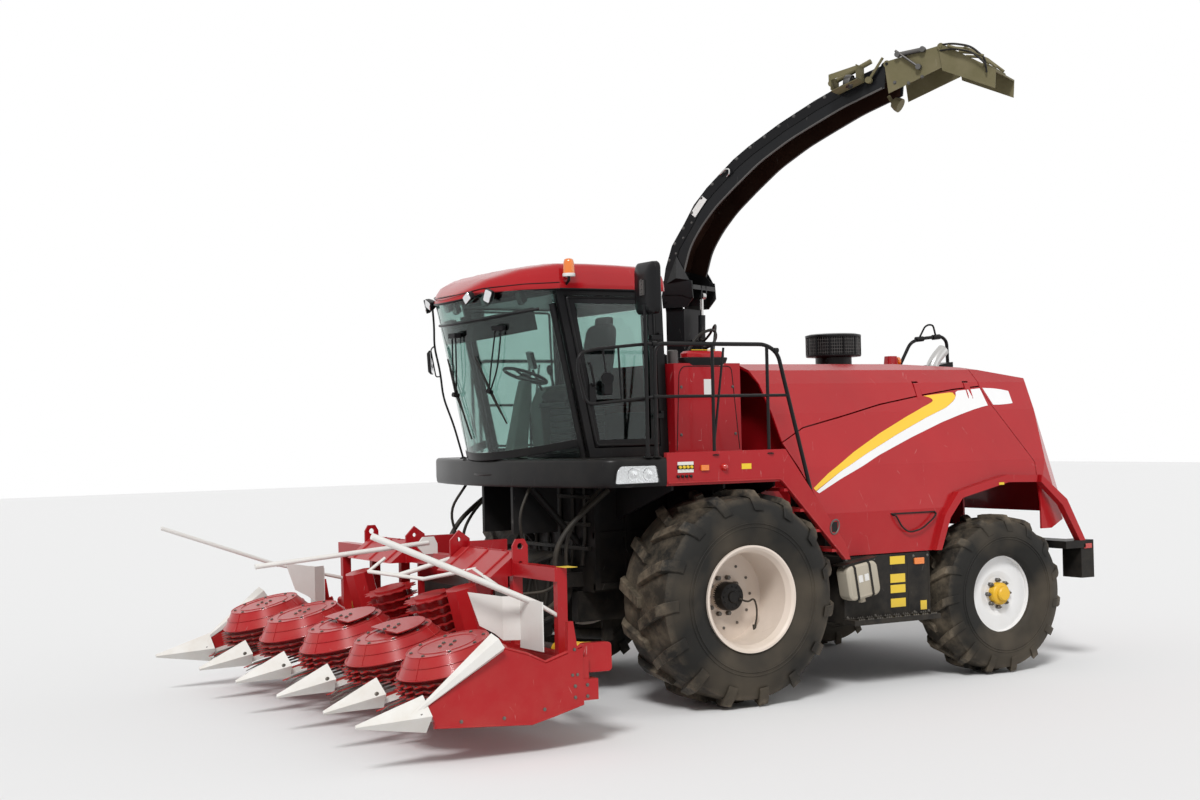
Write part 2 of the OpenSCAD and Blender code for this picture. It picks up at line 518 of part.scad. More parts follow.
module header_points() color(white) union() {
  for (p = points, s = [-1, 1]) {
    cone([p[3], s * p[0], p[4]], [p[1], s * p[0], p[2]], p[5], 14, $fn = 4);
    header_tilted() block(150, 430, s * p[0] - 22, s * p[0] + 22, -240, -205);
  }
  // long cones on the side walls, and the folded shields behind them
  mirrored() {
    cone([2660, header_y - 5, 800], [3270, header_y - 5, 385], 80, 14, $fn = 6);
    slab([[2352, 740], [2420, 795], [2540, 860], [2630, 1110], [2352, 1060]], 1890, 1897);
    plan([[2352, 1890], [2240, 1950], [2240, 1960], [2352, 1898]], 740, 1060);
    block(2233, 2241, 1950, 2300, 685, 1040);
  }
  slab([[1990, 1258], [2110, 1258], [2180, 1330], [2120, 1400], [2020, 1400], [1990, 1340]], -9, 9);
  for (q = rods) cone(q[0], q[1], q[2], q[2]);
}
// a disc with hooked teeth: outer radius, root radius, number of teeth, way they point
module toothed(r, root, count, way) linear_extrude(8) polygon([for (k = [0:count - 1], q = [[root, 0], [r, 0.65], [r - 20, 0.85]]) q[0] * [cos(360 / count * (k + q[1])), way * sin(360 / count * (k + q[1]))]]);
module rotor(i) color(red) header_tilted() translate([0, drums[i], 0]) union() {
  cylinder(h = 130, r1 = 394, r2 = 300);
  translate([0, 0, -8]) cylinder(h = 9, r = 404);
  translate([0, 0, -150]) cylinder(h = 151, r = 330);
  translate([0, 0, -204.7]) cylinder(h = 60, r = 80);
  for (z = [-50, -90, -130]) translate([0, 0, z]) toothed(tooth_r, 390, 24, i > 1 ? 1 : -1);
  if (i == 2 || i == 3) {
    translate([0, 0, 129]) cylinder(h = 40, r = 60);
    translate([0, 0, 160]) linear_extrude(8) intersection() { circle(r = 262); translate([-262, -262]) square([330, 524]); }
  }
}
// upright drums that draw the crop in at the middle
module feed_drum(s) color(red) header_tilted() translate([feed_x, s * feed_y, 0]) union() {
  translate([0, 0, -204.7]) cylinder(h = 400, r = 138);
  for (z = [-110:70:170]) translate([0, 0, z]) toothed(228, 190, 14, -s);
}
module feed_drum_left() feed_drum(1);
module feed_drum_right() feed_drum(-1);
module rotor_1() rotor(0);
module rotor_2() rotor(1);
module rotor_3() rotor(2);
module rotor_4() rotor(3);
module rotor_5() rotor(4);
module lift_axis_at() translate([lift_eyes[0][0], 0, lift_eyes[0][1]]) rotate([0, atan2(lift_eyes[1][0] - lift_eyes[0][0], lift_eyes[1][1] - lift_eyes[0][1]), 0]) children();
module lift_barrels() color(dark) lift_axis_at() mirrored() translate([0, 260, 0]) difference() {
  union() { disc(-36, 36, 45); cylinder(h = 400, r = 48); }
  translate([0, 0, 70]) cylinder(h = 400, r = 34);
  disc(-50, 50, 22.3);
}
module lift_rods() color(chrome) lift_axis_at() mirrored() translate([0, 260, 0]) union() {
  translate([0, 0, 120]) cylinder(h = 40, r = 33.7);
  difference() {
    union() { translate([0, 0, 150]) cylinder(h = norm(lift_eyes[1] - lift_eyes[0]) - 170, r = 28); translate([0, 0, norm(lift_eyes[1] - lift_eyes[0])]) disc(-34, 34, 40); }
    translate([0, 0, norm(lift_eyes[1] - lift_eyes[0])]) disc(-40, 40, 20 + lift_play);
  }
}

module placed() translate([front_axle_x, -middle_y, ride_lift]) children();
placed() chassis_frame();
placed() engine_block();
placed() platform();
placed() lamps();
placed() cab_shell();
placed() cab_roof();
placed() cab_glass();
placed() cab_seat();
placed() hood_top();
placed() handrails();
placed() air_intake();
placed() exhaust();
placed() side_left();
placed() side_right();
placed() tail_cap();
placed() door_frame();
placed() door_glass();
placed() tyre_front_left();
placed() tyre_front_right();
placed() rim_front_left();
placed() rim_front_right();
placed() tyre_rear_left();
placed() tyre_rear_right();
placed() rim_rear_left();
placed() rim_rear_right();
placed() knuckle_left();
placed() knuckle_right();
placed() tie_rod();
placed() spout_turntable();
placed() spout_chute();
placed() spout_barrel();
placed() spout_rod();
placed() spout_flap_mid();
placed() spout_flap_tip();
placed() feeder_housing();
placed() header_frame();
placed() header_points();
placed() rotor_1();
placed() rotor_2();
placed() rotor_3();
placed() rotor_4();
placed() rotor_5();
placed() feed_drum_left();
placed() feed_drum_right();
placed() lift_barrels();
placed() lift_rods();
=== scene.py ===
# %% [markdown]
# A forage harvester: a red machine with a glazed cab, a rotary maize header in front and a long
# black spout that throws the chopped crop. The imported model is the frame: its solids give the
# sizes and the joints, and this lesson dresses them. The frame is loaded first.

import bpy
import json
import math
from mathutils import Matrix, Vector
from mathutils.bvhtree import BVHTree

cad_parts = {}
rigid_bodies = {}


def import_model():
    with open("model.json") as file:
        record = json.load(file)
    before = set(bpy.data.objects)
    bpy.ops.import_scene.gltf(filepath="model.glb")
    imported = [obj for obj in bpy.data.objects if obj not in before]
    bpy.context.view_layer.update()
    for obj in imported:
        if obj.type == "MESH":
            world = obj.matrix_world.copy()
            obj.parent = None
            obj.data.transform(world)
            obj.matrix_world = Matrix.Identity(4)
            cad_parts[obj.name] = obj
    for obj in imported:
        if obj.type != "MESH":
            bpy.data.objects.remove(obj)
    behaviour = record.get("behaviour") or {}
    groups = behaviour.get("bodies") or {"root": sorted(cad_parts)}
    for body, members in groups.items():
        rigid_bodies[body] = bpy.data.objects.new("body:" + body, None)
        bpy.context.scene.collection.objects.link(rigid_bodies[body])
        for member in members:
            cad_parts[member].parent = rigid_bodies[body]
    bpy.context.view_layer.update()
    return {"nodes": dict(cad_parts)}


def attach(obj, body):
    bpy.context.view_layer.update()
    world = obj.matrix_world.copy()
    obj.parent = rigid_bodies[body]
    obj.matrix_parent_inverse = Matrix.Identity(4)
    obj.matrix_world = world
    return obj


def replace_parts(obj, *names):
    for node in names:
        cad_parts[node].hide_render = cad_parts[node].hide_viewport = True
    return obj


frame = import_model()

# %% [markdown]
# Places are easier to read when they are measured from something real. The harvester was
# measured from the ground under the middle of its front axle, x forward, y to its left and z up,
# in metres. Two more sets of axes follow pieces that lean: the spout's own plane, with its reach
# from the turntable, and the header's floor, which is tipped forward by 13.9 degrees.

# %% Places
FRONT_AXLE = Vector((0.1869, -0.1014, 0.020))
WHEELBASE = 2.92
SPOUT_X, SPOUT_HEADING, SPOUT_HALF = -0.6, math.radians(120), 0.23
HEADER_TILT, DRUM_X, DRUM_Z = math.radians(13.9), 2.79, 0.63
SIDES = ((1, "left"), (-1, "right"))


def at(x, y, z):
    """A point measured from the ground under the front axle."""
    return FRONT_AXLE + Vector((x, y, z))


def in_spout(reach, side, height):
    """A point in the spout's plane; side is negative towards the machine's left front."""
    c, s = math.cos(SPOUT_HEADING), math.sin(SPOUT_HEADING)
    return at(SPOUT_X + reach * c - side * s, reach * s + side * c, height)


def in_header(ahead, across, above):
    """A point over the header's tipped floor, measured from the drums' feet."""
    c, s = math.cos(HEADER_TILT), math.sin(HEADER_TILT)
    return at(DRUM_X + ahead * c + above * s, across, DRUM_Z - ahead * s + above * c)


print("spout's tip is near", in_spout(3.02, 0, 5.07))

# %% [markdown]
# The camera comes before the pieces, because every later choice is judged through it. Its place
# was solved from both wheels, the cab and the header: a 52 mm lens, a little above eye height,
# turned slightly about its own axis. A camera looks along its own minus Z, so the three columns
# of its matrix are right, up and backward.

# %% The camera
CAMERA_AT = at(8.116, 13.271, 2.265)
YAW, PITCH, ROLL = math.radians(-120.215), math.radians(0.948), math.radians(-1.274)
ahead = Vector((math.cos(PITCH) * math.cos(YAW), math.cos(PITCH) * math.sin(YAW), math.sin(PITCH)))
level = Vector((math.sin(YAW), -math.cos(YAW), 0))
above = level.cross(ahead)
right = math.cos(ROLL) * level + math.sin(ROLL) * above
upward = math.cos(ROLL) * above - math.sin(ROLL) * level
camera_data = bpy.data.cameras.new("camera")
camera_data.lens, camera_data.sensor_width, camera_data.clip_end = 52.31, 36, 200
camera = bpy.data.objects.new("camera", camera_data)
camera.matrix_world = Matrix((right, upward, -ahead)).transposed().to_4x4()
camera.matrix_world.translation = CAMERA_AT
bpy.context.scene.collection.objects.link(camera)
bpy.context.scene.camera = camera
print("camera stands", round((CAMERA_AT - at(0, 0, 1.5)).length, 2), "m from the machine")

# %% [markdown]
# A bench for making meshes. Most pieces of a farm machine are bent tubes, turned rings, folded
# plates and bolts, so the bench knows these few and keeps adding them to one list of points and
# faces. When a piece is done, it becomes one object with a small bevel on its hard edges, takes
# its finish, and rides on the body that carries it.

# %% The bench
def place(origin, z_axis=(0, 0, 1), x_axis=(1, 0, 0)):
    """A matrix that stands a piece at origin with its own Z along z_axis."""
    z = Vector(z_axis).normalized()
    x = Vector(x_axis)
    if x.cross(z).length < 0.1:
        x = Vector((0, 1, 0.01))
    y = z.cross(x).normalized()
    m = Matrix((y.cross(z), y, z)).transposed().to_4x4()
    m.translation = Vector(origin)
    return m


BLOCK_FACES = [(0, 1, 3, 2), (4, 6, 7, 5), (0, 4, 5, 1), (2, 3, 7, 6), (0, 2, 6, 4), (1, 5, 7, 3)]
FROM_AXLE = Matrix.Translation(FRONT_AXLE)


def turns(count, start=0.0, closed=False):
    """Angles spread evenly over a full turn; a closed run ends where it starts."""
    return [2 * math.pi * (k + start) / count for k in range(count + closed)]


def around(radius, angle, height=0.0):
    """A point at an angle round the Z axis."""
    return Vector((radius * math.cos(angle), radius * math.sin(angle), height))


def quads(rows, count, closed=False):
    """Faces between rows of count points; closed joins each row's last point to its first."""
    faces = []
    for i in range(rows - 1):
        for k in range(count if closed else count - 1):
            j = (k + 1) % count
            faces.append((i * count + k, i * count + j, (i + 1) * count + j, (i + 1) * count + k))
    return faces


def caps(rows, count):
    """The end faces of the same rows."""
    return [tuple(reversed(range(count))), tuple(range((rows - 1) * count, rows * count))]


class Bench:
    """A growing list of points and faces, and the few shapes that go into it."""

    def __init__(self):
        self.points, self.faces = [], []

    def add(self, points, faces, matrix=None):
        start = len(self.points)
        self.points += [matrix @ Vector(p) if matrix else Vector(p) for p in points]
        self.faces += [[start + i for i in face] for face in faces]
        return self

    def slab(self, near, far, matrix=None):
        """A solid between two rings of equal count."""
        return self.add([*near, *far], caps(2, len(near)) + quads(2, len(near), True), matrix)

    def sheet(self, outline, low, high, matrix=None):
        """A flat outline in X and Y, given a thickness from low to high along Z."""
        return self.slab([(x, y, low) for x, y in outline], [(x, y, high) for x, y in outline], matrix)

    def block(self, low, high, matrix=None):
        corners = [(x, y, z) for x in (low[0], high[0]) for y in (low[1], high[1]) for z in (low[2], high[2])]
        return self.add(corners, BLOCK_FACES, matrix)

    def side_block(self, s, low, high, matrix=FROM_AXLE):
        """A block on side s of the machine, its y measured outwards."""
        inner, outer = sorted((s * low[1], s * high[1]))
        return self.block((low[0], inner, low[2]), (high[0], outer, high[2]), matrix)

    def turned(self, profile, matrix=None, sides=32, capped=True):
        """A profile of (radius, height) turned about its own Z."""
        points = [around(r, a, h) for r, h in profile for a in turns(sides)]
        ends = caps(len(profile), sides) if capped else []
        return self.add(points, quads(len(profile), sides, True) + ends, matrix)

    def tube(self, path, radius, sides=10, bend=0.0):
        """A tube along a path, its corners rounded by bend; radius is one number or one a point."""
        path = rounded(path, bend) if bend else [Vector(p) for p in path]
        radii = radius if isinstance(radius, (list, tuple)) else [radius] * len(path)
        rings, side = [], None
        for i, p in enumerate(path):
            way = (path[min(i + 1, len(path) - 1)] - path[max(i - 1, 0)]).normalized()
            side = way.orthogonal() if side is None else side - side.dot(way) * way
            side.normalize()
            other = way.cross(side)
            rings += [p + radii[i] * (math.cos(a) * side + math.sin(a) * other) for a in turns(sides)]
        return self.add(rings, quads(len(path), sides, True) + caps(len(path), sides))

    def bolt(self, spot, way, size=0.012):
        """A hexagon head on a washer."""
        m = place(spot, way)
        self.turned([(size * 1.35, 0), (size * 1.35, size * 0.25)], m, 16)
        return self.turned([(size, 0), (size, size * 0.8), (size * 0.86, size * 0.95)], m, 6)

    def done(self, name, coat, slot, body="machine", bevel=0.0):
        """The finished piece, on the body that carries it."""
        mesh = bpy.data.meshes.new(name)
        mesh.from_pydata(self.points, [], self.faces)
        mesh.validate()
        piece = bpy.data.objects.new(name, mesh)
        bpy.context.scene.collection.objects.link(piece)
        mesh.materials.append(coat)
        mesh.shade_smooth()
        mesh.set_sharp_from_angle(angle=math.radians(38))
        if bevel:
            cut = piece.modifiers.new("soft edges", "BEVEL")
            cut.width, cut.segments, cut.harden_normals = bevel, 2, True
            cut.limit_method, cut.angle_limit = "ANGLE", math.radians(40)
        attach(piece, body)
        return piece


def rounded(path, bend, steps=5):
    """The path with each inner corner replaced by a short curve."""
    path = [Vector(p) for p in path]
    out = [path[0]]
    for a, b, c in zip(path, path[1:], path[2:]):
        r = min(bend, (a - b).length * 0.49, (c - b).length * 0.49)
        p, q = b + (a - b).normalized() * r, b + (c - b).normalized() * r
        out += [(1 - t) ** 2 * p + 2 * t * (1 - t) * b + t * t * q
            for t in (k / steps for k in range(steps + 1))]
    return out + [path[-1]]


print("the bench is ready")

# %% [markdown]
# Three effects are shared by most finishes, so each is built once as a node group. Field dust
# settles low on the machine and on faces that look up; scuffs are thin bright lines where crop
# and boots rub; and the ripple is the slight waviness of sprayed paint and rolled sheet, which
# feeds a Bump node. Groups only put out masks and heights, and the shader stays in the material.

# %% Shared effects
def new_group(name, inputs, outputs):
    group = bpy.data.node_groups.new(name, "ShaderNodeTree")
    for label, value in inputs:
        group.interface.new_socket(label, in_out="INPUT", socket_type="NodeSocketFloat").default_value = value
    for label in outputs:
        group.interface.new_socket(label, in_out="OUTPUT", socket_type="NodeSocketFloat")
    return group, group.nodes.new("NodeGroupInput"), group.nodes.new("NodeGroupOutput")


def node(tree, kind, links=None, **settings):
    """A node with its inputs linked or set by name or number."""
    made = tree.nodes.new("ShaderNode" + kind)
    for key, value in settings.items():
        setattr(made, key, value)
    for key, value in (links or {}).items():
        if isinstance(value, bpy.types.NodeSocket):
            tree.links.new(value, made.inputs[key])
        else:
            made.inputs[key].default_value = value
    return made


def sums(tree, operation, a, b=0.0, c=0.0, clamp=False):
    return node(tree, "Math", {0: a, 1: b, 2: c}, operation=operation, use_clamp=clamp).outputs[0]


dust_group, gin, gout = new_group("field dust",
    [("Amount", 0.5), ("Low", 0.3), ("High", 2.0), ("Scale", 5.0)], ["Mask"])
where = node(dust_group, "TexCoord").outputs["Object"]
height = node(dust_group, "SeparateXYZ", {0: where}).outputs["Z"]
low_down = node(dust_group, "MapRange", {0: height, 1: gin.outputs["High"], 2: gin.outputs["Low"]}).outputs[0]
facing = node(dust_group, "SeparateXYZ", {0: node(dust_group, "NewGeometry").outputs["Normal"]}).outputs["Z"]
upturned = sums(dust_group, "MULTIPLY", sums(dust_group, "MAXIMUM", facing, 0.0), 0.55)
clouds = node(dust_group, "TexNoise", {"Vector": where, "Scale": gin.outputs["Scale"], "Detail": 7.0,
    "Roughness": 0.62}).outputs[0]
patches = node(dust_group, "MapRange", {0: clouds, 1: 0.36, 2: 0.7}).outputs[0]
spread = sums(dust_group, "MULTIPLY", sums(dust_group, "ADD", low_down, upturned),
    sums(dust_group, "MULTIPLY_ADD", patches, 0.75, 0.25))
dust_group.links.new(sums(dust_group, "MULTIPLY", spread, gin.outputs["Amount"],
    clamp=True), gout.inputs["Mask"])

scuff_group, gin, gout = new_group("scuffs", [("Amount", 0.3), ("Scale", 4.0)], ["Mask"])
where = node(scuff_group, "TexCoord").outputs["Object"]
bent = node(scuff_group, "Mapping", {"Vector": where, "Rotation": (0.4, 0.9, 0.2),
    "Scale": (1.0, 1.0, 0.22)}).outputs[0]
lines = node(scuff_group, "TexVoronoi", {"Vector": bent, "Scale": gin.outputs["Scale"]},
    feature="DISTANCE_TO_EDGE").outputs[0]
thin = node(scuff_group, "MapRange", {0: lines, 1: 0.008, 2: 0.0}).outputs[0]
rare = node(scuff_group, "TexNoise", {"Vector": where, "Scale": 9.0, "Detail": 4.0}).outputs[0]
here = node(scuff_group, "MapRange", {0: rare, 1: 0.58, 2: 0.70}).outputs[0]
scuffed = sums(scuff_group, "MULTIPLY", sums(scuff_group, "MULTIPLY", thin, here),
    gin.outputs["Amount"], clamp=True)
scuff_group.links.new(scuffed, gout.inputs["Mask"])

ripple_group, gin, gout = new_group("ripple", [("Fine", 260.0), ("Wide", 2.2)], ["Height"])
where = node(ripple_group, "TexCoord").outputs["Object"]
fine = node(ripple_group, "TexNoise", {"Vector": where, "Scale": gin.outputs["Fine"],
    "Detail": 2.0}).outputs[0]
wide = node(ripple_group, "TexNoise", {"Vector": where, "Scale": gin.outputs["Wide"],
    "Detail": 1.0}).outputs[0]
ripple_group.links.new(sums(ripple_group, "MULTIPLY_ADD", wide, 12.0, fine), gout.inputs["Height"])
print("effects:", [g.name for g in bpy.data.node_groups])

# %% [markdown]
# A finish is one Principled shader with those effects mixed in. Dust lightens and dulls the
# colour, scuffs show the primer, and the ripple bends the highlights a little. Numbers that are
# the same all over are set on the shader itself, so that they survive the export.

# %% A finish
DUST = (0.46, 0.38, 0.27, 1)


def group_node(tree, group, **values):
    made = tree.nodes.new("ShaderNodeGroup")
    made.node_tree = group
    for key, value in values.items():
        made.inputs[key].default_value = value
    return made


def mix_colour(tree, factor, a, b):
    made = tree.nodes.new("ShaderNodeMix")
    made.data_type = "RGBA"
    for index, value in ((0, factor), (6, a), (7, b)):
        if isinstance(value, bpy.types.NodeSocket):
            tree.links.new(value, made.inputs[index])
        else:
            made.inputs[index].default_value = value
    return made.outputs[2]


def finish(name, colour, rough=0.4, metal=0.0, coat=0.0, dust=0.4, low=0.2, high=2.2, dust_scale=5.0,
        scuff=0.2, scuff_scale=4.0, ripple=0.06, worn=(0.75, 0.7, 0.66, 1), tint=0.12, fine=260.0, shine=0.5):
    material = bpy.data.materials.new(name)
    material.use_nodes = True
    tree = material.node_tree
    shader = tree.nodes["Principled BSDF"]
    where = node(tree, "TexCoord").outputs["Object"]
    tone = node(tree, "TexNoise", {"Vector": where, "Scale": 1.7, "Detail": 4.0}).outputs[0]
    dark = tuple(c * (1 - 2 * tint) for c in colour[:3]) + (1,)
    base = mix_colour(tree, tone, tuple(colour[:3]) + (1,), dark)
    marks = group_node(tree, scuff_group, Amount=scuff, Scale=scuff_scale).outputs[0]
    base = mix_colour(tree, marks, base, worn)
    settled = group_node(tree, dust_group, Amount=dust, Low=low, High=high, Scale=dust_scale).outputs[0]
    base = mix_colour(tree, settled, base, DUST)
    tree.links.new(base, shader.inputs["Base Color"])
    tree.links.new(sums(tree, "MULTIPLY_ADD", settled, 0.85 - rough, rough, clamp=True),
        shader.inputs["Roughness"])
    shader.inputs["Metallic"].default_value = metal
    shader.inputs["Specular IOR Level"].default_value = shine
    if coat:
        shader.inputs["Coat Roughness"].default_value = 0.06
        tree.links.new(sums(tree, "MULTIPLY_ADD", settled, -coat, coat, clamp=True),
            shader.inputs["Coat Weight"])
    if ripple:
        surface = group_node(tree, ripple_group, Fine=fine).outputs[0]
        bump = node(tree, "Bump", {"Height": surface, "Strength": ripple, "Distance": 0.002})
        tree.links.new(bump.outputs[0], shader.inputs["Normal"])
    return material


red_body = finish("body red", (0.42, 0.007, 0.012), rough=0.22, coat=0.22, dust=0.05, low=0.5, high=2.0,
    scuff=0.12, scuff_scale=3.0, ripple=0.05, shine=0.22)
red_frame = finish("platform red", (0.40, 0.008, 0.014), rough=0.32, coat=0.12, dust=0.10, low=0.2,
    high=2.4, scuff=0.5, scuff_scale=9.0, shine=0.22)
red_header = finish("header red", (0.42, 0.007, 0.012), rough=0.30, coat=0.15, dust=0.09, low=-0.2,
    high=1.4, scuff=0.3, scuff_scale=7.0, shine=0.22)
black_paint = finish("chassis black", (0.009, 0.009, 0.010), rough=0.42, dust=0.10, low=0.1, high=1.9,
    dust_scale=7.0, scuff=0.15, shine=0.14)
black_trim = finish("trim black", (0.008, 0.008, 0.009), rough=0.3, dust=0.03, low=0.4, high=3.5,
    scuff=0.06, shine=0.16)
spout_black = finish("spout black", (0.007, 0.008, 0.010), rough=0.28, coat=0.08, dust=0.03, low=1.0,
    high=6.5, scuff=0.1, ripple=0.1, shine=0.16)
spout_inside = finish("rubbed steel inside the spout", (0.035, 0.013, 0.008), rough=0.34, metal=0.3,
    dust=0.06, low=1.0, high=7.0, scuff=0.2, tint=0.35, shine=0.2)
olive_flap = finish("dusty flap paint", (0.14, 0.125, 0.06), rough=0.6, dust=0.34, low=3.5, high=6.5,
    scuff=0.4, scuff_scale=8.0, worn=(0.6, 0.58, 0.5, 1), shine=0.2)
white_paint = finish("header white", (0.78, 0.77, 0.74), rough=0.4, coat=0.2, dust=0.30, low=-0.2, high=1.7,
    dust_scale=8.0, scuff=0.5, scuff_scale=9.0, worn=(0.42, 0.36, 0.28, 1), tint=0.05)
cream_rim = finish("cream rim", (0.74, 0.64, 0.56), rough=0.42, dust=0.3, low=0.1, high=1.5, scuff=0.3,
    worn=(0.4, 0.32, 0.25, 1), tint=0.06)
white_rim = finish("white rim", (0.8, 0.8, 0.8), rough=0.35, coat=0.2, dust=0.2, low=0.1, high=1.3,
    scuff=0.25, worn=(0.45, 0.4, 0.35, 1), tint=0.04)
bright_steel = finish("bright steel", (0.62, 0.61, 0.6), rough=0.22, metal=1.0, dust=0.15,
    low=0.2, high=3.5, scuff=0.2)
dull_steel = finish("dull steel", (0.16, 0.155, 0.15), rough=0.5, metal=0.85, dust=0.2, low=0.2,
    high=2.5, scuff=0.3, tint=0.25)
cast_grey = finish("engine grey", (0.06, 0.06, 0.06), rough=0.6, metal=0.3, dust=0.25, low=0.5,
    high=3.0, ripple=0.4, fine=90.0)
hose_rubber = finish("hose rubber", (0.013, 0.012, 0.011), rough=0.5, dust=0.12, low=0.3, high=2.5,
    scuff=0.05, ripple=0.25, fine=420.0, shine=0.2)
stripe_white = finish("stripe white", (0.80, 0.80, 0.80), rough=0.28, coat=0.2, dust=0.12, low=0.8,
    high=2.8, scuff=0.15, tint=0.02)
stripe_yellow = finish("stripe yellow", (0.87, 0.53, 0.008), rough=0.28, coat=0.2, dust=0.1, low=0.8,
    high=2.8, scuff=0.15, tint=0.03)
plate_yellow = finish("plate yellow", (0.85, 0.58, 0.02), rough=0.45, dust=0.3, low=0.2, high=2.0, scuff=0.3)
plate_white = finish("plate white", (0.8, 0.8, 0.78), rough=0.4, dust=0.2, low=0.3, high=3.0, scuff=0.2)
guard_yellow = finish("guard yellow", (0.8, 0.46, 0.01), rough=0.4, dust=0.15, low=0.2, high=1.4, scuff=0.3)
tank_plastic = finish("tank plastic", (0.46, 0.42, 0.34), rough=0.5, dust=0.6, low=0.4, high=1.6, scuff=0.15)
seat_cloth = finish("seat cloth", (0.03, 0.03, 0.035), rough=0.95, shine=0.1, dust=0.1, low=1.5, high=3.5,
    scuff=0.0, ripple=0.6, fine=900.0)
console_grey = finish("console grey", (0.20, 0.22, 0.20), rough=0.55, dust=0.12,
    low=1.5, high=3.5, scuff=0.05)
print("finishes:", len(bpy.data.materials))

# %% [markdown]
# Rubber, glass and lamp lenses need their own shaders. A field tyre is nearly black on its
# walls, and pale with dried soil on its lugs, so the soil follows the distance from the axle.
# Cab glass is tinted green; it keeps a plain transmission and a very smooth surface. Lenses are
# clear plastic over a bright bowl, with small prisms that only bend the light.

# %% Rubber, glass and lenses
def tyre_rubber(name, radius):
    material = finish(name, (0.017, 0.016, 0.014), rough=0.66, dust=0.0, scuff=0.0, ripple=0.5,
        fine=120.0, tint=0.3, shine=0.22)
    tree = material.node_tree
    shader = tree.nodes["Principled BSDF"]
    where = node(tree, "TexCoord").outputs["Object"]
    part = node(tree, "SeparateXYZ", {0: where})
    reach = sums(tree, "SQRT", sums(tree, "MULTIPLY_ADD", part.outputs["X"], part.outputs["X"],
        sums(tree, "MULTIPLY", part.outputs["Z"], part.outputs["Z"])))
    tread = node(tree, "MapRange", {0: reach, 1: radius * 0.86, 2: radius * 1.0}).outputs[0]
    soil = node(tree, "TexNoise", {"Vector": where, "Scale": 5.0, "Detail": 8.0, "Roughness": 0.7}).outputs[0]
    patches = node(tree, "MapRange", {0: soil, 1: 0.42, 2: 0.68}).outputs[0]
    veil = node(tree, "TexNoise", {"Vector": where, "Scale": 1.6, "Detail": 3.0}).outputs[0]
    wall = sums(tree, "MULTIPLY", node(tree, "MapRange", {0: veil, 1: 0.45, 2: 0.7}).outputs[0], 0.22)
    mask = sums(tree, "MULTIPLY_ADD", sums(tree, "MULTIPLY", tread, patches), 0.62, wall, clamp=True)
    old = shader.inputs["Base Color"].links[0].from_socket
    tree.links.new(mix_colour(tree, mask, old, (0.27, 0.215, 0.15, 1)), shader.inputs["Base Color"])
    return material


def clear(name, colour, rough=0.02, ior=1.45, prisms=0.0, prism_scale=60.0):
    material = bpy.data.materials.new(name)
    material.use_nodes = True
    tree = material.node_tree
    shader = tree.nodes["Principled BSDF"]
    where = node(tree, "TexCoord").outputs["Object"]
    haze = node(tree, "TexNoise", {"Vector": where, "Scale": 2.5, "Detail": 5.0}).outputs[0]
    tree.links.new(mix_colour(tree, haze, tuple(colour) + (1,), tuple(c * 0.88 for c in colour) + (1,)),
        shader.inputs["Base Color"])
    tree.links.new(sums(tree, "MULTIPLY_ADD", haze, rough * 2, rough), shader.inputs["Roughness"])
    shader.inputs["Transmission Weight"].default_value = 1.0
    shader.inputs["IOR"].default_value = ior
    if prisms:
        cells = node(tree, "TexVoronoi", {"Vector": where, "Scale": prism_scale}).outputs[0]
        bump = node(tree, "Bump", {"Height": cells, "Strength": prisms, "Distance": 0.004})
        tree.links.new(bump.outputs[0], shader.inputs["Normal"])
    return material


def lens(name, colour, rough=0.12, prism_scale=70.0):
    """Coloured reflector plastic: opaque enough to keep its colour in any light."""
    material = finish(name, colour, rough=rough, coat=0.8, dust=0.12, low=0.3, high=3.0,
        scuff=0.05, ripple=0, tint=0.1)
    tree = material.node_tree
    cells = node(tree, "TexVoronoi", {"Vector": node(tree, "TexCoord").outputs["Object"],
        "Scale": prism_scale}).outputs[0]
    bump = node(tree, "Bump", {"Height": cells, "Strength": 0.6, "Distance": 0.003})
    tree.links.new(bump.outputs[0], tree.nodes["Principled BSDF"].inputs["Normal"])
    return material


cab_glass = clear("cab glass", (0.50, 0.66, 0.62), ior=1.45)
lamp_glass = clear("lamp glass", (0.95, 0.96, 0.96), rough=0.03, prisms=0.5, prism_scale=45.0)
amber = lens("amber lens", (0.85, 0.2, 0.005))
red_lens = lens("red lens", (0.5, 0.01, 0.008))
front_rubber = tyre_rubber("front tyre rubber", 0.886)
rear_rubber = tyre_rubber("rear tyre rubber", 0.718)
print("finishes:", len(bpy.data.materials))

# %% [markdown]
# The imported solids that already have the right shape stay, and only take a finish. The list
# pairs each finish with its solids; the rest is replaced by finer pieces further on.

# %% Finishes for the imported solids
SOLID_FINISHES = [
    (red_body, ["hood_top", "side_left", "side_right", "tail_cap"]),
    (red_frame, ["platform"]),
    (red_header, ["header_frame", "rotor_1", "rotor_2", "rotor_3", "rotor_4", "rotor_5",
    "feed_drum_left", "feed_drum_right"]),
    (black_paint, ["chassis_frame", "knuckle_left", "knuckle_right", "feeder_housing",
    "lift_barrels", "spout_turntable"]),
    (black_trim, ["door_frame"]),
    (spout_black, ["spout_chute", "spout_barrel"]),
    (olive_flap, ["spout_flap_mid", "spout_flap_tip"]),
    (white_paint, ["header_points"]),
    (cream_rim, ["rim_front_left", "rim_front_right"]),
    (white_rim, ["rim_rear_left", "rim_rear_right"]),
    (bright_steel, ["spout_rod", "lift_rods", "tie_rod"]),
    (cab_glass, ["cab_glass", "door_glass"]),
    (cast_grey, ["engine_block"]),
]
for coat, names in SOLID_FINISHES:
    for name in names:
        solid = frame["nodes"][name]
        solid.data.materials.clear()
        solid.data.materials.append(coat)
print("finished solids:", sum(len(names) for _, names in SOLID_FINISHES))


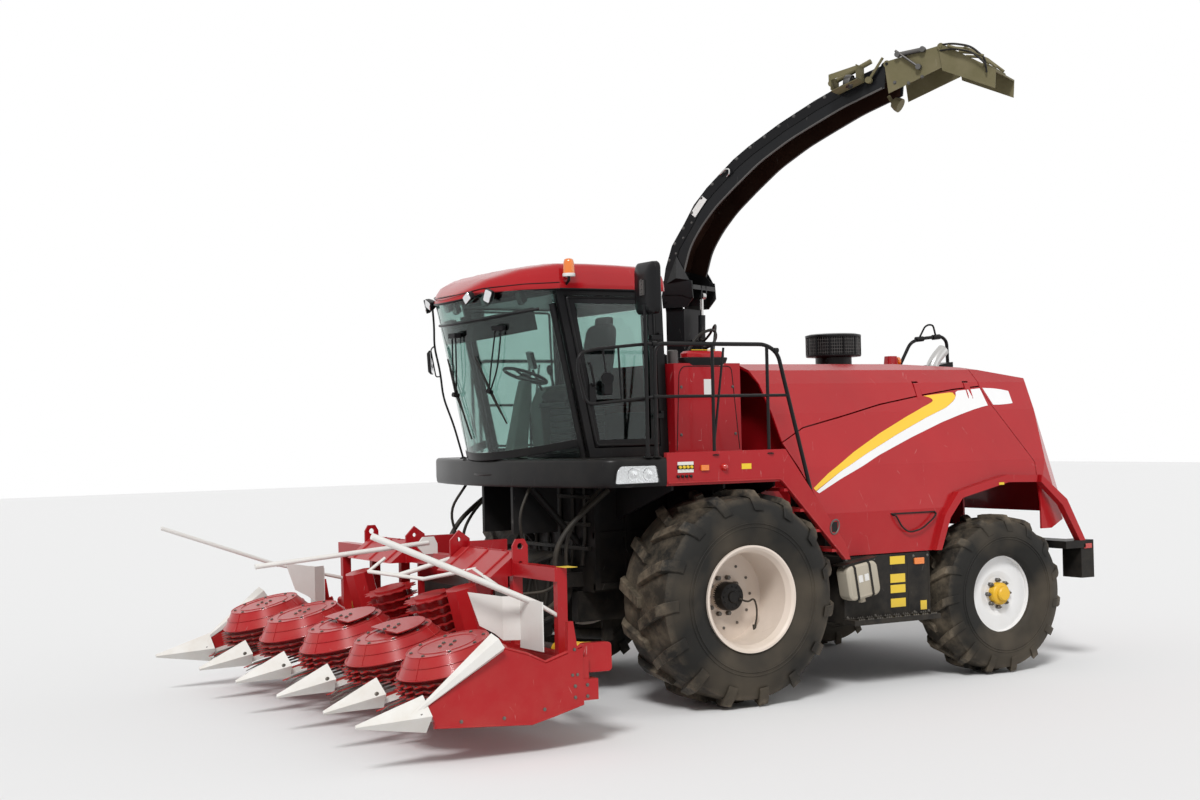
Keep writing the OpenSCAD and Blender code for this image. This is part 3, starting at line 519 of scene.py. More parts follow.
def wall_of(name):
    """The solid's surface, ready to be struck by a ray."""
    mesh = frame["nodes"][name].data
    return BVHTree.FromPolygons([v.co.copy() for v in mesh.vertices],
        [tuple(p.vertices) for p in mesh.polygons])


# %% [markdown]
# A tractor tyre is a bulging carcass with a bead at the rim, and two rows of slanting lugs that
# meet in an arrow along the middle. The carcass is one turned profile. Each lug is a bar bent
# over the shoulder: it is drawn in steps from the middle outwards, each step a little further
# round the wheel, and every second one is mirrored and set half a step on. The lugs stay inside
# the solid's own outline, so that wheel and solid stand on the ground together.

# %% The tyres
LUGS, LUG_STEPS = 15, 8
FRONT_TRACK, FRONT_AXLE_Z, FRONT_R = 1.357, 0.8648, 0.886
REAR_TRACK, REAR_AXLE_Z, REAR_R = 1.273, 0.697, 0.718
ON_AXLE = Matrix.Rotation(-math.pi / 2, 4, "X")


def tyre_on(bench, outer, width, bead, lug, half):
    """The axle is the bench's own Y; half is half a lug's width."""
    w, wall = width / 2, outer - bead
    floor = outer - lug * 1.15
    carcass = [(bead, -0.80 * w), (bead + 0.02, -0.84 * w), (bead + 0.05, -0.86 * w),
        (bead + 0.35 * wall, -0.97 * w),
               (bead + 0.55 * wall, -0.965 * w), (floor - 0.075, -0.90 * w), (floor - 0.02, -0.80 * w),
               (floor, -0.5 * w), (floor + 0.006, 0)]
    carcass += [(r, -y) for r, y in reversed(carcass[:-1])]
    inside = [(bead - 0.02, 0.72 * w), (bead - 0.02, -0.72 * w)]
    bench.turned(inside[1:] + carcass + inside, ON_AXLE, 72, capped=False)
    for share in (0.36, 0.42):
        r = bead + share * wall
        for s in (1, -1):
            foot, top = s * 0.95 * w, s * (0.975 * w + 0.004)
            bench.turned([(r, foot), (r + 0.003, top), (r + 0.012, top),
                (r + 0.015, foot)], ON_AXLE, 72, False)
    swung = 0.13 * (outer / FRONT_R) - half
    for i in range(LUGS):
        for s in (1, -1):
            turn = 2 * math.pi * (i + (0.5 if s < 0 else 0)) / LUGS
            points = []
            for k in range(LUG_STEPS + 1):
                t = k / LUG_STEPS
                y = s * (-0.03 + t) * w
                swing = swung - 2 * swung * t ** 0.9
                over = max(0.0, t - 0.72) / 0.28
                top = outer - 0.002 - over ** 1.6 * (outer - floor + 0.085)
                foot = min(floor - 0.004, top) - over * 0.03
                wide = half * (1.0 + 0.22 * t)
                for r, side in ((foot, -wide * 1.18), (top, -wide), (top, wide), (foot, wide * 1.18)):
                    angle = turn + (swing + side) / outer
                    points.append((r * math.sin(angle), y, r * math.cos(angle)))
            faces = quads(LUG_STEPS + 1, 4, True) + caps(LUG_STEPS + 1, 4)
            bench.add(points, faces if s > 0 else [tuple(reversed(f)) for f in faces])
    return bench


# end, x, half track, axle's height, outer radius, width, bead's radius, lug's height, half a lug, finish
TYRES = [("front", 0, FRONT_TRACK, FRONT_AXLE_Z, FRONT_R, 0.775, 0.404, 0.046, 0.04, front_rubber),
         ("rear", -WHEELBASE, REAR_TRACK, REAR_AXLE_Z, REAR_R, 0.520, 0.362, 0.034, 0.031, rear_rubber)]
for end, x, y, z, outer, width, bead, lug, half, rubber in TYRES:
    for s, side in SIDES:
        bench = tyre_on(Bench(), outer, width, bead, lug, half)
        mesh = bpy.data.meshes.new(f"tyre {end} {side}")
        mesh.from_pydata(bench.points, [], bench.faces)
        mesh.validate()
        mesh.materials.append(rubber)
        mesh.shade_smooth()
        mesh.set_sharp_from_angle(angle=math.radians(34))
        tyre = bpy.data.objects.new(f"field_tyre_{end}_{side}", mesh)
        bpy.context.scene.collection.objects.link(tyre)
        tyre.location = at(x, s * y, z)
        edge = tyre.modifiers.new("worn edges", "BEVEL")
        edge.width, edge.segments = 0.006, 2
        edge.limit_method, edge.angle_limit = "ANGLE", math.radians(50)
        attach(tyre, f"wheel_{end}_{side}")
        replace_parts(tyre, f"tyre_{end}_{side}")
print("tyre faces:", len(mesh.polygons))

# %% [markdown]
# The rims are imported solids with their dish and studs. What is missing is what a hand would
# touch: the dark hub of the front wheel with its ring of nuts and the air hose, the ring of
# bolts that joins dish and barrel, and on the rear wheel the ochre hub cap and long studs.

# %% Hubs and nuts
AIR_HOSE = [(-0.06, 0.165, -0.02), (-0.12, 0.2, -0.05), (-0.2, 0.17, -0.02),
    (-0.25, 0.14, -0.1), (-0.26, 0.12, -0.2),
            (-0.25, 0.1, -0.27)]


def round_axle(radius, angle, out=0.0):
    """A point at an angle round a wheel's axle."""
    return Vector((radius * math.cos(angle), out, radius * math.sin(angle)))


for s, side in SIDES:
    out = Vector((0, s, 0))
    front, back = f"wheel_front_{side}", f"wheel_rear_{side}"
    hub = at(0, s * (FRONT_TRACK - 0.087), FRONT_AXLE_Z)
    rear = at(-WHEELBASE, s * (REAR_TRACK + 0.11), REAR_AXLE_Z)
    boss, nuts, ring, studs = Bench(), Bench(), Bench(), Bench()
    boss.turned([(0.118, 0.04), (0.118, 0.135), (0.108, 0.15), (0.05, 0.158),
        (0.045, 0.175)], place(hub, out), 40)
    for a in turns(12):
        boss.bolt(hub + round_axle(0.083, a, s * 0.152), out, 0.009)
        ring.bolt(hub + round_axle(0.268, a, s * 0.008), out, 0.013)
    for a in turns(10):
        nuts.turned([(0.02, 0), (0.02, 0.036), (0.016, 0.04)], place(hub + round_axle(0.154, a), out), 6)
    boss.done(f"front_hub_{side}", black_trim, "black_paint", front, 0.003)
    nuts.done(f"front_wheel_nuts_{side}", dull_steel, "chrome", front)
    ring.done(f"front_dish_bolts_{side}", dull_steel, "chrome", front)
    air = [hub + Vector((x, s * y, z)) for x, y, z in AIR_HOSE]
    hose = Bench().tube(air, 0.008, 8, 0.06)
    hose.turned([(0.016, -0.02), (0.016, 0.03)], place(air[-1], (0, s * 0.2, -1)), 12)
    hose.done(f"front_air_hose_{side}", hose_rubber, "black_paint", front)
    cap = [(0.1, 0.0), (0.1, 0.055), (0.09, 0.068), (0.068, 0.074), (0.067, 0.1),
        (0.055, 0.112), (0.02, 0.115)]
    cap = Bench().turned(cap, place(rear, out), 36)
    cap.done(f"rear_hub_cap_{side}", guard_yellow, "cream_paint", back, 0.002)
    for a in turns(8):
        spot = place(rear + round_axle(0.1215, a), out)
        studs.turned([(0.0195, 0), (0.0195, 0.036), (0.016, 0.039)], spot, 6)
        studs.turned([(0.009, 0), (0.009, 0.056), (0.006, 0.06)], spot, 10)
    studs.done(f"rear_wheel_studs_{side}", dull_steel, "chrome", back)
print("hub of the front wheel is at", [round(v, 3) for v in hub])

# %% [markdown]
# The stripes are painted foil. On a real panel a foil follows every crease, so each stripe is a
# strip of small faces whose points are dropped sideways onto the panel by a ray, and then lifted
# by a millimetre. The outline is given as two edges, and the strip runs between them.

# %% Stripes on the side panels
def along(path, t):
    """A point at share t of a broken line's length."""
    steps = [math.dist(a, b) for a, b in zip(path, path[1:])]
    reach = t * sum(steps)
    for step, a, b in zip(steps, path, path[1:]):
        if reach <= step or b is path[-1]:
            return tuple(u + (v - u) * min(1.0, reach / step) for u, v in zip(a, b))
        reach -= step


def foil(name, wall, body, side, edge_a, edge_b, coat, slot, length=48, across=6, lift=0.0014):
    tree = wall_of(wall)
    bench = Bench()
    points, good = [], []
    for i in range(length + 1):
        a, b = along(edge_a, i / length), along(edge_b, i / length)
        for j in range(across + 1):
            t = j / across
            p = at(a[0] + (b[0] - a[0]) * t, side * 2.2, a[1] + (b[1] - a[1]) * t)
            hit = tree.ray_cast(p, Vector((0, -side, 0)), 1.6)[0]
            good.append(hit is not None)
            points.append(hit + Vector((0, side * lift, 0)) if hit else p)
    faces = [f for f in quads(length + 1, across + 1) if all(good[k] for k in f)]
    bench.add(points, faces if side < 0 else [tuple(reversed(f)) for f in faces])
    return bench.done(name, coat, slot, body)


YELLOW_TOP = [(-0.900, 1.721), (-1.081, 1.844), (-1.396, 2.016), (-1.720, 2.168), (-2.087, 2.318),
    (-2.298, 2.397), (-2.408, 2.434), (-2.450, 2.462), (-2.400, 2.488), (-2.350, 2.497)]
YELLOW_LOW = [(-0.922, 1.697), (-1.218, 1.858), (-1.529, 1.998), (-1.931, 2.163), (-2.301, 2.303),
    (-2.570, 2.392), (-2.690, 2.455), (-2.728, 2.495), (-2.700, 2.530), (-2.352, 2.499)]
WHITE_TOP = [(-0.926, 1.693), (-1.218, 1.856), (-1.529, 1.996), (-1.931, 2.161), (-2.301, 2.301),
    (-2.570, 2.390), (-2.692, 2.453), (-2.735, 2.500), (-2.744, 2.540), (-2.967, 2.556), (-3.090, 2.566)]
WHITE_LOW = [(-0.952, 1.676), (-1.207, 1.791), (-1.428, 1.879), (-1.664, 1.981), (-2.063, 2.124),
    (-2.471, 2.257), (-2.700, 2.320), (-2.882, 2.366), (-3.000, 2.390), (-3.115, 2.408)]
CAP_TOP = [(-3.085, 2.566), (-3.200, 2.562), (-3.300, 2.552), (-3.392, 2.535)]
CAP_LOW = [(-3.145, 2.408), (-3.230, 2.408), (-3.310, 2.412), (-3.392, 2.420)]
for s, side in SIDES:
    foil(f"yellow_stripe_{side}", f"side_{side}", f"side_panel_{side}", s, YELLOW_TOP, YELLOW_LOW,
        stripe_yellow, "white_paint", 60, 8)
    foil(f"white_stripe_{side}", f"side_{side}", f"side_panel_{side}", s, WHITE_TOP, WHITE_LOW,
        stripe_white, "white_paint", 60, 10)
    foil(f"white_band_{side}", "tail_cap", "tail_hood", s, CAP_TOP, CAP_LOW,
        stripe_white, "white_paint", 12, 6)
print("stripe starts", YELLOW_TOP[0], "and ends", CAP_TOP[-1])

# %% [markdown]
# Each side panel has a bent handle of round bar near the wheel arch, over the black edge of a
# pressed pocket, and a small plate without words. The tail carries a hoop of pipe with a smaller
# one on it, and a slanted louvre box. A plate is a thin sheet, and a round bar is a tube along a
# rounded path, so both come straight from the bench.

# %% Handles, plates, hoop and louvre
def plate(bench, centre, way, width, height, thick=0.004, up=(0, 0, 1)):
    """A thin plate whose face looks along way."""
    z = Vector(way).normalized()
    x = Vector(up).cross(z).normalized()
    m = place(centre, z, x)
    u, v = width / 2, height / 2
    return bench.sheet([(-u, -v), (u, -v), (u, v), (-u, v)], 0, thick, m)


def dropped(wall, x, z, side, lift=0.0):
    """The point of a solid's side at x and z, and the way it faces."""
    hit, normal, _, _ = wall_of(wall).ray_cast(at(x, side * 2.4, z), Vector((0, -side, 0)), 2.4)
    if normal.y * side < 0:
        normal = -normal
    return hit + normal * lift, normal


# x, z and how far the handle's bar stands off the panel
HANDLE = [(-1.72, 1.458, 0.0), (-1.73, 1.455, 0.035), (-1.80, 1.345, 0.035), (-1.88, 1.30, 0.035),
    (-2.02, 1.325, 0.035), (-2.15, 1.41, 0.035), (-2.19, 1.455, 0.035), (-2.195, 1.46, 0.0)]
for s, side in SIDES:
    body = f"side_panel_{side}"
    wall = f"side_{side}"
    bar = [dropped(wall, x, z, s, lift)[0] for x, z, lift in HANDLE]
    Bench().tube(bar, 0.008, 10, 0.05).done(f"panel_handle_{side}", black_trim, "black_paint", body)
    pocket = [dropped(wall, x, 1.468, s, 0.004)[0] for x in (-1.70, -1.82, -1.94, -2.06, -2.20)]
    Bench().tube(pocket, 0.007, 8).done(f"panel_pocket_edge_{side}", black_trim, "black_paint", body)
    spot, way = dropped(wall, -2.95, 1.69, s, 0.001)
    made = plate(Bench(), spot, way, 0.06, 0.022, 0.003)
    made.done(f"arch_plate_{side}", plate_yellow, "white_paint", body)

HOOP = [(-2.97, 2.74), (-3.16, 3.045), (-3.29, 3.085), (-3.56, 3.11), (-3.625, 3.06), (-3.64, 2.66)]
SMALL_HOOP = [(-3.27, 3.085), (-3.35, 3.205), (-3.40, 3.225), (-3.455, 3.22), (-3.49, 3.10)]
hoop = Bench().tube([at(x, 0, z) for x, z in HOOP], 0.017, 12, 0.06)
hoop.tube([at(x, 0, z) for x, z in SMALL_HOOP], 0.0095, 8, 0.03)
for x, z in ((-3.275, 3.08), (-3.49, 3.102)):
    hoop.turned([(0.026, -0.045), (0.026, 0.045)], place(at(x, 0, z), (-1, 0, 0.09)), 16)
hoop.done("tail_hoop", black_trim, "black_paint", "tail_hood")
louvre = Bench().sheet([(-0.18, -0.01), (0.18, 0.05), (0.18, -0.08), (-0.18, -0.08)], -0.14, 0.14,
    place(at(-3.40, 0.0, 2.80), (0, 1, 0), (-1, 0, 0)))
louvre.done("tail_louvre", black_trim, "black_paint", "tail_hood", 0.004)
print("hoop rail stands", HOOP[2][1], "m high")

# %% [markdown]
# The platform's skirt carries what other drivers see: a small blank plate between two rows of
# bulbs, an amber reflector, a round side lamp and a yellow plate. A folded plate has its own
# small thickness, and a lamp is a turned lens on a dark socket.

# %% The platform's skirt
SKIRT_Y = 1.6
for s, side in SIDES:
    face = Vector((0, s, 0))
    y = s * SKIRT_Y
    plates = Bench()
    for z in (1.975, 1.915):
        plate(plates, at(0.545, y, z), face, 0.15, 0.026, 0.003)
    plates.done(f"skirt_plates_{side}", plate_white, "white_paint")
    row = Bench()
    for k in range(4):
        row.turned([(0.013, 0), (0.013, 0.012), (0.009, 0.018)],
            place(at(0.49 + 0.036 * k, y, 1.945), face), 14)
    row.done(f"skirt_bulbs_{side}", plate_yellow, "lamp")
    made = plate(Bench(), at(0.545, y, 1.945), face, 0.16, 0.034, 0.002)
    made.done(f"skirt_bulb_plate_{side}", black_trim, "black_paint")
    low_row = Bench()
    for k in range(4):
        low_row.turned([(0.012, 0), (0.012, 0.016), (0.006, 0.022)],
            place(at(0.50 + 0.04 * k, y, 1.872), face), 12)
    low_row.done(f"skirt_sockets_{side}", black_trim, "black_paint")
    made = plate(Bench(), at(0.365, y, 1.935), face, 0.075, 0.045, 0.016)
    made.done(f"skirt_reflector_{side}", amber, "lamp", bevel=0.003)
    made = Bench().turned([(0.03, 0), (0.028, 0.02), (0.018, 0.034), (0.004, 0.04)],
        place(at(0.175, y, 1.935), face), 24)
    made.done(f"skirt_side_lamp_{side}", red_lens, "lamp")
    made = plate(Bench(), at(-0.045, y, 1.935), face, 0.095, 0.045, 0.003)
    made.done(f"skirt_yellow_plate_{side}", plate_yellow, "white_paint")
    edge = [at(x, s * (SKIRT_Y + 0.004), z) for x, z in ((0.715, 1.822), (-0.385, 1.822), (-1.035, 1.125))]
    Bench().tube(edge, 0.007, 8, 0.03).done(f"skirt_lower_lip_{side}", red_frame, "red_paint")
    eye = [at(-0.93 + 0.045 * math.cos(a) - 0.012 * math.sin(a), s * (SKIRT_Y + 0.002),
        1.40 + 0.06 * math.sin(a)) for a in turns(24, closed=True)]
    Bench().tube(eye, 0.007, 6).done(f"stair_leg_hole_rim_{side}", dull_steel, "black_paint")
    # The stair leg's hole is not cut: a thin black sheet inside the steel rim is painted shade, standing in
    # for the dark of the hole.
    made = plate(Bench(), at(-0.93, s * (SKIRT_Y + 0.0006), 1.40), face, 0.06, 0.085, 0.0008)
    made.done(f"stair_leg_hole_{side}", black_trim, "black_paint")
print("skirt pieces on both sides")

# %% [markdown]
# The box behind the cab is one big red cover over the crop's duct. It has a sloping front edge,
# a low seam where its side door starts, a small blank plate, and on top a black tray with a red
# lid. The tray is a shallow bowl, so it is lofted from a few rounded outlines.

# %% The duct cover's tray and plates
def rounded_box(half_x, half_y, corner, count=6):
    """A flat rectangle with round corners."""
    out = []
    x, y = half_x - corner, half_y - corner
    for cx, cy, start in ((x, y, 0), (-x, y, 90), (-x, -y, 180), (x, -y, 270)):
        for k in range(count + 1):
            a = math.radians(start + 90 * k / count)
            out.append((cx + corner * math.cos(a), cy + corner * math.sin(a)))
    return out


def loft(bench, rows, matrix=None):
    """Rounded boxes of (half x, half y, corner, height), joined and closed at both ends."""
    rings = [[(x, y, h) for x, y in rounded_box(half_x, half_y, corner)]
        for half_x, half_y, corner, h in rows]
    faces = quads(len(rings), len(rings[0]), True) + caps(len(rings), len(rings[0]))
    return bench.add([p for ring in rings for p in ring], faces, matrix)


TRAY_X, TRAY_Y = -0.085, 0.93
COVER_Y = 1.0
COVER_SEAM = [(0.235, 2.07), (0.20, 2.72), (0.16, 2.775), (-0.33, 2.775), (-0.40, 2.07)]
made = loft(Bench(), [(0.16, 0.055, 0.05, -0.075), (0.215, 0.075, 0.06, 0.0), (0.225, 0.085, 0.06, 0.035),
    (0.225, 0.085, 0.06, 0.05)], place(at(TRAY_X, TRAY_Y, 2.80)))
made.done("tray", black_trim, "black_paint", bevel=0.004)
made = loft(Bench(), [(0.19, 0.07, 0.03, 0.05), (0.19, 0.07, 0.03, 0.085), (0.17, 0.055, 0.03, 0.105)],
    place(at(TRAY_X, TRAY_Y, 2.80)))
made.done("tray_lid", red_body, "red_paint", bevel=0.004)
made = plate(Bench(), at(TRAY_X, TRAY_Y, 2.912), (0, 0, 1), 0.24, 0.05, 0.006, up=(0, 1, 0))
made.done("tray_lid_band", plate_yellow, "white_paint")
for s, side in SIDES:
    face = Vector((0, s, 0))
    made = plate(Bench(), at(-0.09, s * COVER_Y, 2.60), face, 0.085, 0.13, 0.003)
    made.done(f"cover_plate_{side}", plate_white, "white_paint")
    seam = [at(x, s * (COVER_Y + 0.0005), z) for x, z in COVER_SEAM]
    Bench().tube(seam, 0.004, 6, 0.05).done(f"cover_seam_{side}", black_trim, "black_paint")
    bolts = Bench()
    for x, z in ((0.19, 2.2), (0.18, 2.6), (-0.36, 2.2), (-0.34, 2.6)):
        bolts.bolt(at(x, s * COVER_Y, z), face, 0.01)
    bolts.done(f"cover_bolts_{side}", dull_steel, "chrome")
print("tray is at", [round(v, 2) for v in at(TRAY_X, TRAY_Y, 2.8)])

# %% [markdown]
# Lamps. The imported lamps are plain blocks, so each is replaced by a housing, a bright bowl and a
# clear lens: two wide headlamps in the skirt, four work lamps under the roof's lip, the two tail
# clusters and the beacon. A lens that is a thin shell over a bowl looks deep from any side.

# %% Lamps
bowl_steel = finish("lamp bowl", (0.85, 0.85, 0.86), rough=0.08, metal=1.0, dust=0.0, scuff=0.0,
    ripple=0.5, fine=60.0, tint=0.05)
for s, side in SIDES:
    face = Vector((0, s, 0))
    m = place(at(1.0, s * 1.6, 1.9), face, (1, 0, 0))
    head = [(-0.2, -0.066), (-0.175, 0.066), (0.15, 0.068), (0.185, 0.03), (0.2, -0.068)]
    head = head if s > 0 else [(-x, y) for x, y in reversed(head)]
    flip = 1 if (m @ Vector((0, 1, 0)) - m @ Vector((0, 0, 0))).z > 0 else -1
    head = [(x, flip * y) for x, y in head]
    Bench().sheet(head, 0.0, 0.004, m).done(f"headlamp_bowl_{side}", bowl_steel, "lamp", bevel=0.002)
    bulbs = Bench()
    for x in (-0.105, 0.035):
        bulbs.turned([(0.052, 0.004), (0.05, 0.008), (0.022, 0.005), (0.006, 0.012)],
            place(at(1.0 + x, s * 1.6, 1.9), face), 24)
    bulbs.done(f"headlamp_rings_{side}", bowl_steel, "lamp")
    Bench().sheet(head, 0.010, 0.0145, m).done(f"headlamp_lens_{side}", lamp_glass, "lamp", bevel=0.002)
    rim = [m @ Vector((x * 1.03, y * 1.06, 0.008)) for x, y in head + head[:2]]
    Bench().tube(rim, 0.006, 8, 0.02).done(f"headlamp_rim_{side}", black_trim, "black_paint")
    for i, (x, y) in enumerate(((1.846, 0.38), (1.771, 0.60))):
        look = Vector((0.96, s * (0.1 + 0.3 * i), -0.22)).normalized()
        spot = at(x - 0.012, s * y, 3.365) - look * 0.004
        made = loft(Bench(), [(0.0228, 0.033, 0.009, -0.04), (0.036, 0.053, 0.015, -0.008),
            (0.038, 0.055, 0.015, 0.02), (0.038, 0.055, 0.015, 0.024)], place(spot, look))
        made.done(f"work_lamp_{side}_{i}", black_trim, "black_paint", bevel=0.002)
        made = loft(Bench(), [(0.033, 0.05, 0.012, 0.0245), (0.031, 0.048, 0.012, 0.029)], place(spot, look))
        made.done(f"work_lamp_lens_{side}_{i}", bowl_steel, "lamp")
    for z, coat, label in ((0.865, red_lens, "stop"), (0.955, amber, "turn"),
            (1.045, plate_white, "reverse")):
        made = loft(Bench(), [(0.09, 0.037, 0.01, 0), (0.09, 0.037, 0.01, 0.018),
            (0.08, 0.03, 0.01, 0.024)], place(at(-4.062, s * 1.35, z), (-1, 0, 0), (0, 1, 0)))
        made.done(f"tail_lamp_{label}_{side}", coat, "lamp", bevel=0.002)
    made = plate(Bench(), at(-3.98, s * 1.472, 1.075), face, 0.1, 0.045, 0.008)
    made.done(f"tail_reflector_{side}", red_lens, "lamp", bevel=0.002)
beacon = at(1.24, 1.0096, 3.5)
made = Bench().turned([(0.048, 0.025), (0.044, 0.11), (0.036, 0.138), (0.02, 0.147)], place(beacon), 32)
made.done("beacon", amber, "lamp")
made = Bench().turned([(0.05, 0.0), (0.052, 0.006), (0.052, 0.022), (0.046, 0.028)], place(beacon), 32)
made.done("beacon_foot", plate_white, "lamp", bevel=0.002)
made = Bench().tube([beacon + Vector(p) for p in ((0, 0, 0.002), (0, 0, -0.03),
    (-0.01, -0.075, -0.06))], 0.012, 10, 0.02)
made.done("beacon_bracket", black_trim, "black_paint")
lamp_pieces = [o for o in bpy.data.objects if o.name.startswith(("headlamp", "work_lamp",
    "tail_lamp", "beacon"))]
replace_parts(lamp_pieces[0], "lamps")
print("lamp pieces:", len(lamp_pieces))

# %% [markdown]
# Rails and mirrors. Real handrails are one bent tube with welded uprights, and the mirrors are
# rounded black shells on poles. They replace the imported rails, which have sharp corners, and
# keep their places.

# %% Handrails and mirrors
RAIL_Y, RAIL_FRONT, POLE_X = 1.578, 0.80, 0.88
RAIL_TOP, RAIL_MIDDLE, RAIL_FOOT, MIRROR_Z = 2.93, 2.51, 2.03, 3.37
for s, side in SIDES:
    y = s * RAIL_Y
    rail = Bench()
    rail.tube([at(RAIL_FRONT, y, RAIL_FOOT), at(RAIL_FRONT, y, RAIL_TOP), at(-0.28, y, RAIL_TOP),
        at(-0.40, y, 2.86), at(-0.705, y, 1.72)], 0.017, 14, 0.09)
    rail.tube([at(RAIL_FRONT, y, RAIL_MIDDLE), at(-0.495, y, RAIL_MIDDLE)], 0.013, 10)
    for x in (0.25, -0.29):
        rail.tube([at(x, y, 2.035), at(x, y, RAIL_TOP)], 0.014, 10)
    rail.tube([at(0.25, y, 2.12), at(0.14, y, 2.90)], 0.010, 8)
    for x, z in ((0.80, RAIL_TOP), (0.80, RAIL_MIDDLE), (-0.38, 2.88)):
        rail.turned([(0.022, -0.02), (0.022, 0.02)], place(at(x, y, z), (1, 0, 0)), 14)
    rail.tube([at(POLE_X, y, RAIL_FOOT), at(POLE_X, y, 3.24)], 0.016, 12)
    for x in (0.80, 0.25, -0.29, 0.88):
        rail.turned([(0.04, 0.0), (0.04, 0.008), (0.022, 0.012), (0.022, 0.03)],
            place(at(x, y, RAIL_FOOT)), 16)
    rail.done(f"handrail_{side}", black_trim, "black_paint")
    shell = [(0.15, 0.20, 0.05, 0.0), (0.158, 0.208, 0.055, 0.012), (0.155, 0.205, 0.055, 0.05),
        (0.125, 0.175, 0.05, 0.075), (0.05, 0.1, 0.04, 0.086)]
    mirror_place = place(at(RAIL_FRONT + 0.006, s * 1.56, MIRROR_Z), (1, 0, 0), (0, 1, 0))
    loft(Bench(), shell, mirror_place).done(f"mirror_shell_{side}", black_trim, "black_paint", bevel=0.003)
    made = loft(Bench(), [(0.14, 0.19, 0.045, -0.003), (0.14, 0.19, 0.045, 0.0)], mirror_place)
    made.done(f"mirror_glass_{side}", bowl_steel, "chrome")
    clamp = Bench().block((-0.02, -0.03, -0.06), (0.02, 0.03, 0.06), place(at(0.885, s * 1.573, MIRROR_Z)))
    for z in (3.33, 3.36, 3.40, 3.43):
        clamp.bolt(at(0.905, s * 1.573, z), (1, 0, 0), 0.007)
    clamp.done(f"mirror_clamp_{side}", dull_steel, "chrome")
    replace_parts(bpy.data.objects[f"handrail_{side}"], "handrails")
fold = Bench().tube([at(RAIL_FRONT, RAIL_Y, RAIL_TOP), at(0.90, 1.53, 2.925), at(1.33, 1.52, 2.885),
    at(1.455, 1.52, 2.85), at(1.47, 1.52, 2.74), at(1.40, 1.52, 2.455), at(0.90, 1.53, 2.495),
    at(RAIL_FRONT, RAIL_Y, RAIL_MIDDLE)], 0.013, 12, 0.07)
fold.tube([at(1.10, 1.525, 2.90), at(1.08, 1.525, 2.48)], 0.009, 8)
fold.tube([at(1.24, 1.52, 2.89), at(1.20, 1.50, 2.70)], 0.008, 8)
fold.turned([(0.012, -0.02), (0.03, -0.012), (0.05, 0.012), (0.05, 0.03)],
    place(at(1.19, 1.49, 2.66), (0.3, 0.9, -0.1)), 20)
fold.done("door_rail", black_trim, "black_paint")
print("rails and mirrors stand", RAIL_Y, "m out")

# %% [markdown]
# The cab's body is a frame of dark sheet round the panes. Each side is one flat frame between an
# outer outline and the window's, the back has another, and floor, lining and hinges are blocks.
# The windscreen is part of a leaning cylinder, so a place on it is given by an angle from
# straight ahead and a height.

# %% The cab's body
CAB_Y = 0.9
LEAN = math.radians(11.9)
GLASS_R = 0.947


def on_screen(turn, z, proud=0.0):
    """A point on the bowed windscreen; turn is the angle from straight ahead."""
    rise = (z - 2.05) / math.cos(LEAN)
    r = GLASS_R + proud
    x, y = r * math.cos(turn), r * math.sin(turn)
    return at(0.62 + x * math.cos(LEAN) + rise * math.sin(LEAN), y, z - x * math.sin(LEAN))


def bowed(degrees, steps):
    """Angles across the windscreen, from its right to its left."""
    return [math.radians(-degrees + 2 * degrees * k / steps) for k in range(steps + 1)]


def framed(bench, outer, inner):
    """A flat frame between two closed outlines, each given as a near and a far ring of points."""
    n = len(outer[0])
    rings = list(outer[0]) + list(outer[1]) + list(inner[0]) + list(inner[1])
    faces = []
    for k in range(n):
        j = (k + 1) % n
        faces += [(k, j, 2 * n + j, 2 * n + k), (n + j, n + k, 3 * n + k, 3 * n + j)]
        faces += [(j, k, n + k, n + j), (2 * n + k, 2 * n + j, 3 * n + j, 3 * n + k)]
    return bench.add(rings, faces)


CAB_SIDE = [(0.250, 2.03), (0.290, 3.405), (1.300, 3.405), (1.015, 2.03)]
CAB_WINDOW = [(0.330, 2.11), (0.366, 3.36), (1.225, 3.36), (0.968, 2.11)]
cabin = Bench()
for s, side in SIDES:
    framed(cabin, *[[[at(x, s * y, z) for x, z in line] for y in (CAB_Y, CAB_Y - 0.05)]
        for line in (CAB_SIDE, CAB_WINDOW)])
rings = []
for half, foot, head in ((0.85, 2.05, 3.39), (0.62, 2.40, 3.28)):
    corners = ((-half, foot), (half, foot), (half, head), (-half, head))
    rings.append([[at(0.25 + 0.029 * (z - 2.03) + h, y, z) for y, z in corners] for h in (0.0, 0.05)])
framed(cabin, *rings)
cabin.block((0.27, -0.85, 2.03), (1.02, 0.85, 2.07), FROM_AXLE)
cabin.block((0.30, -0.85, 3.37), (1.29, 0.85, 3.405), FROM_AXLE)
cabin.block((0.25, -0.90, 1.86), (0.73, 0.90, 2.03), FROM_AXLE)
for z in (2.345, 3.0):
    cabin.block((0.315, 0.895, z + 0.039), (0.345, 0.937, z + 0.060), FROM_AXLE)
    cabin.turned([(0.008, -0.005), (0.008, 0.045)], place(at(0.330, 0.925, z)), 16)
sill = [(-0.03, 2.215), (0.008, 2.215), (0.008, 2.28), (-0.008, 2.28)]
cabin.add([on_screen(a, z, proud) for proud, z in sill for a in bowed(62, 40)], quads(4, 41))
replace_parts(cabin.done("cab_body", black_trim, "black_paint", bevel=0.004), "cab_shell")
print("cab's side frames are", CAB_SIDE[2][0] - CAB_SIDE[1][0], "m long at the roof")

# %% [markdown]
# Under the cab's front lies a black shelf with a rolled edge. A press would fold it from one
# sheet; here it is one edge line, shrunk a little at each level, so that the roll goes round the
# whole front. The seals of door and side window are thin tubes along the panes' outlines.

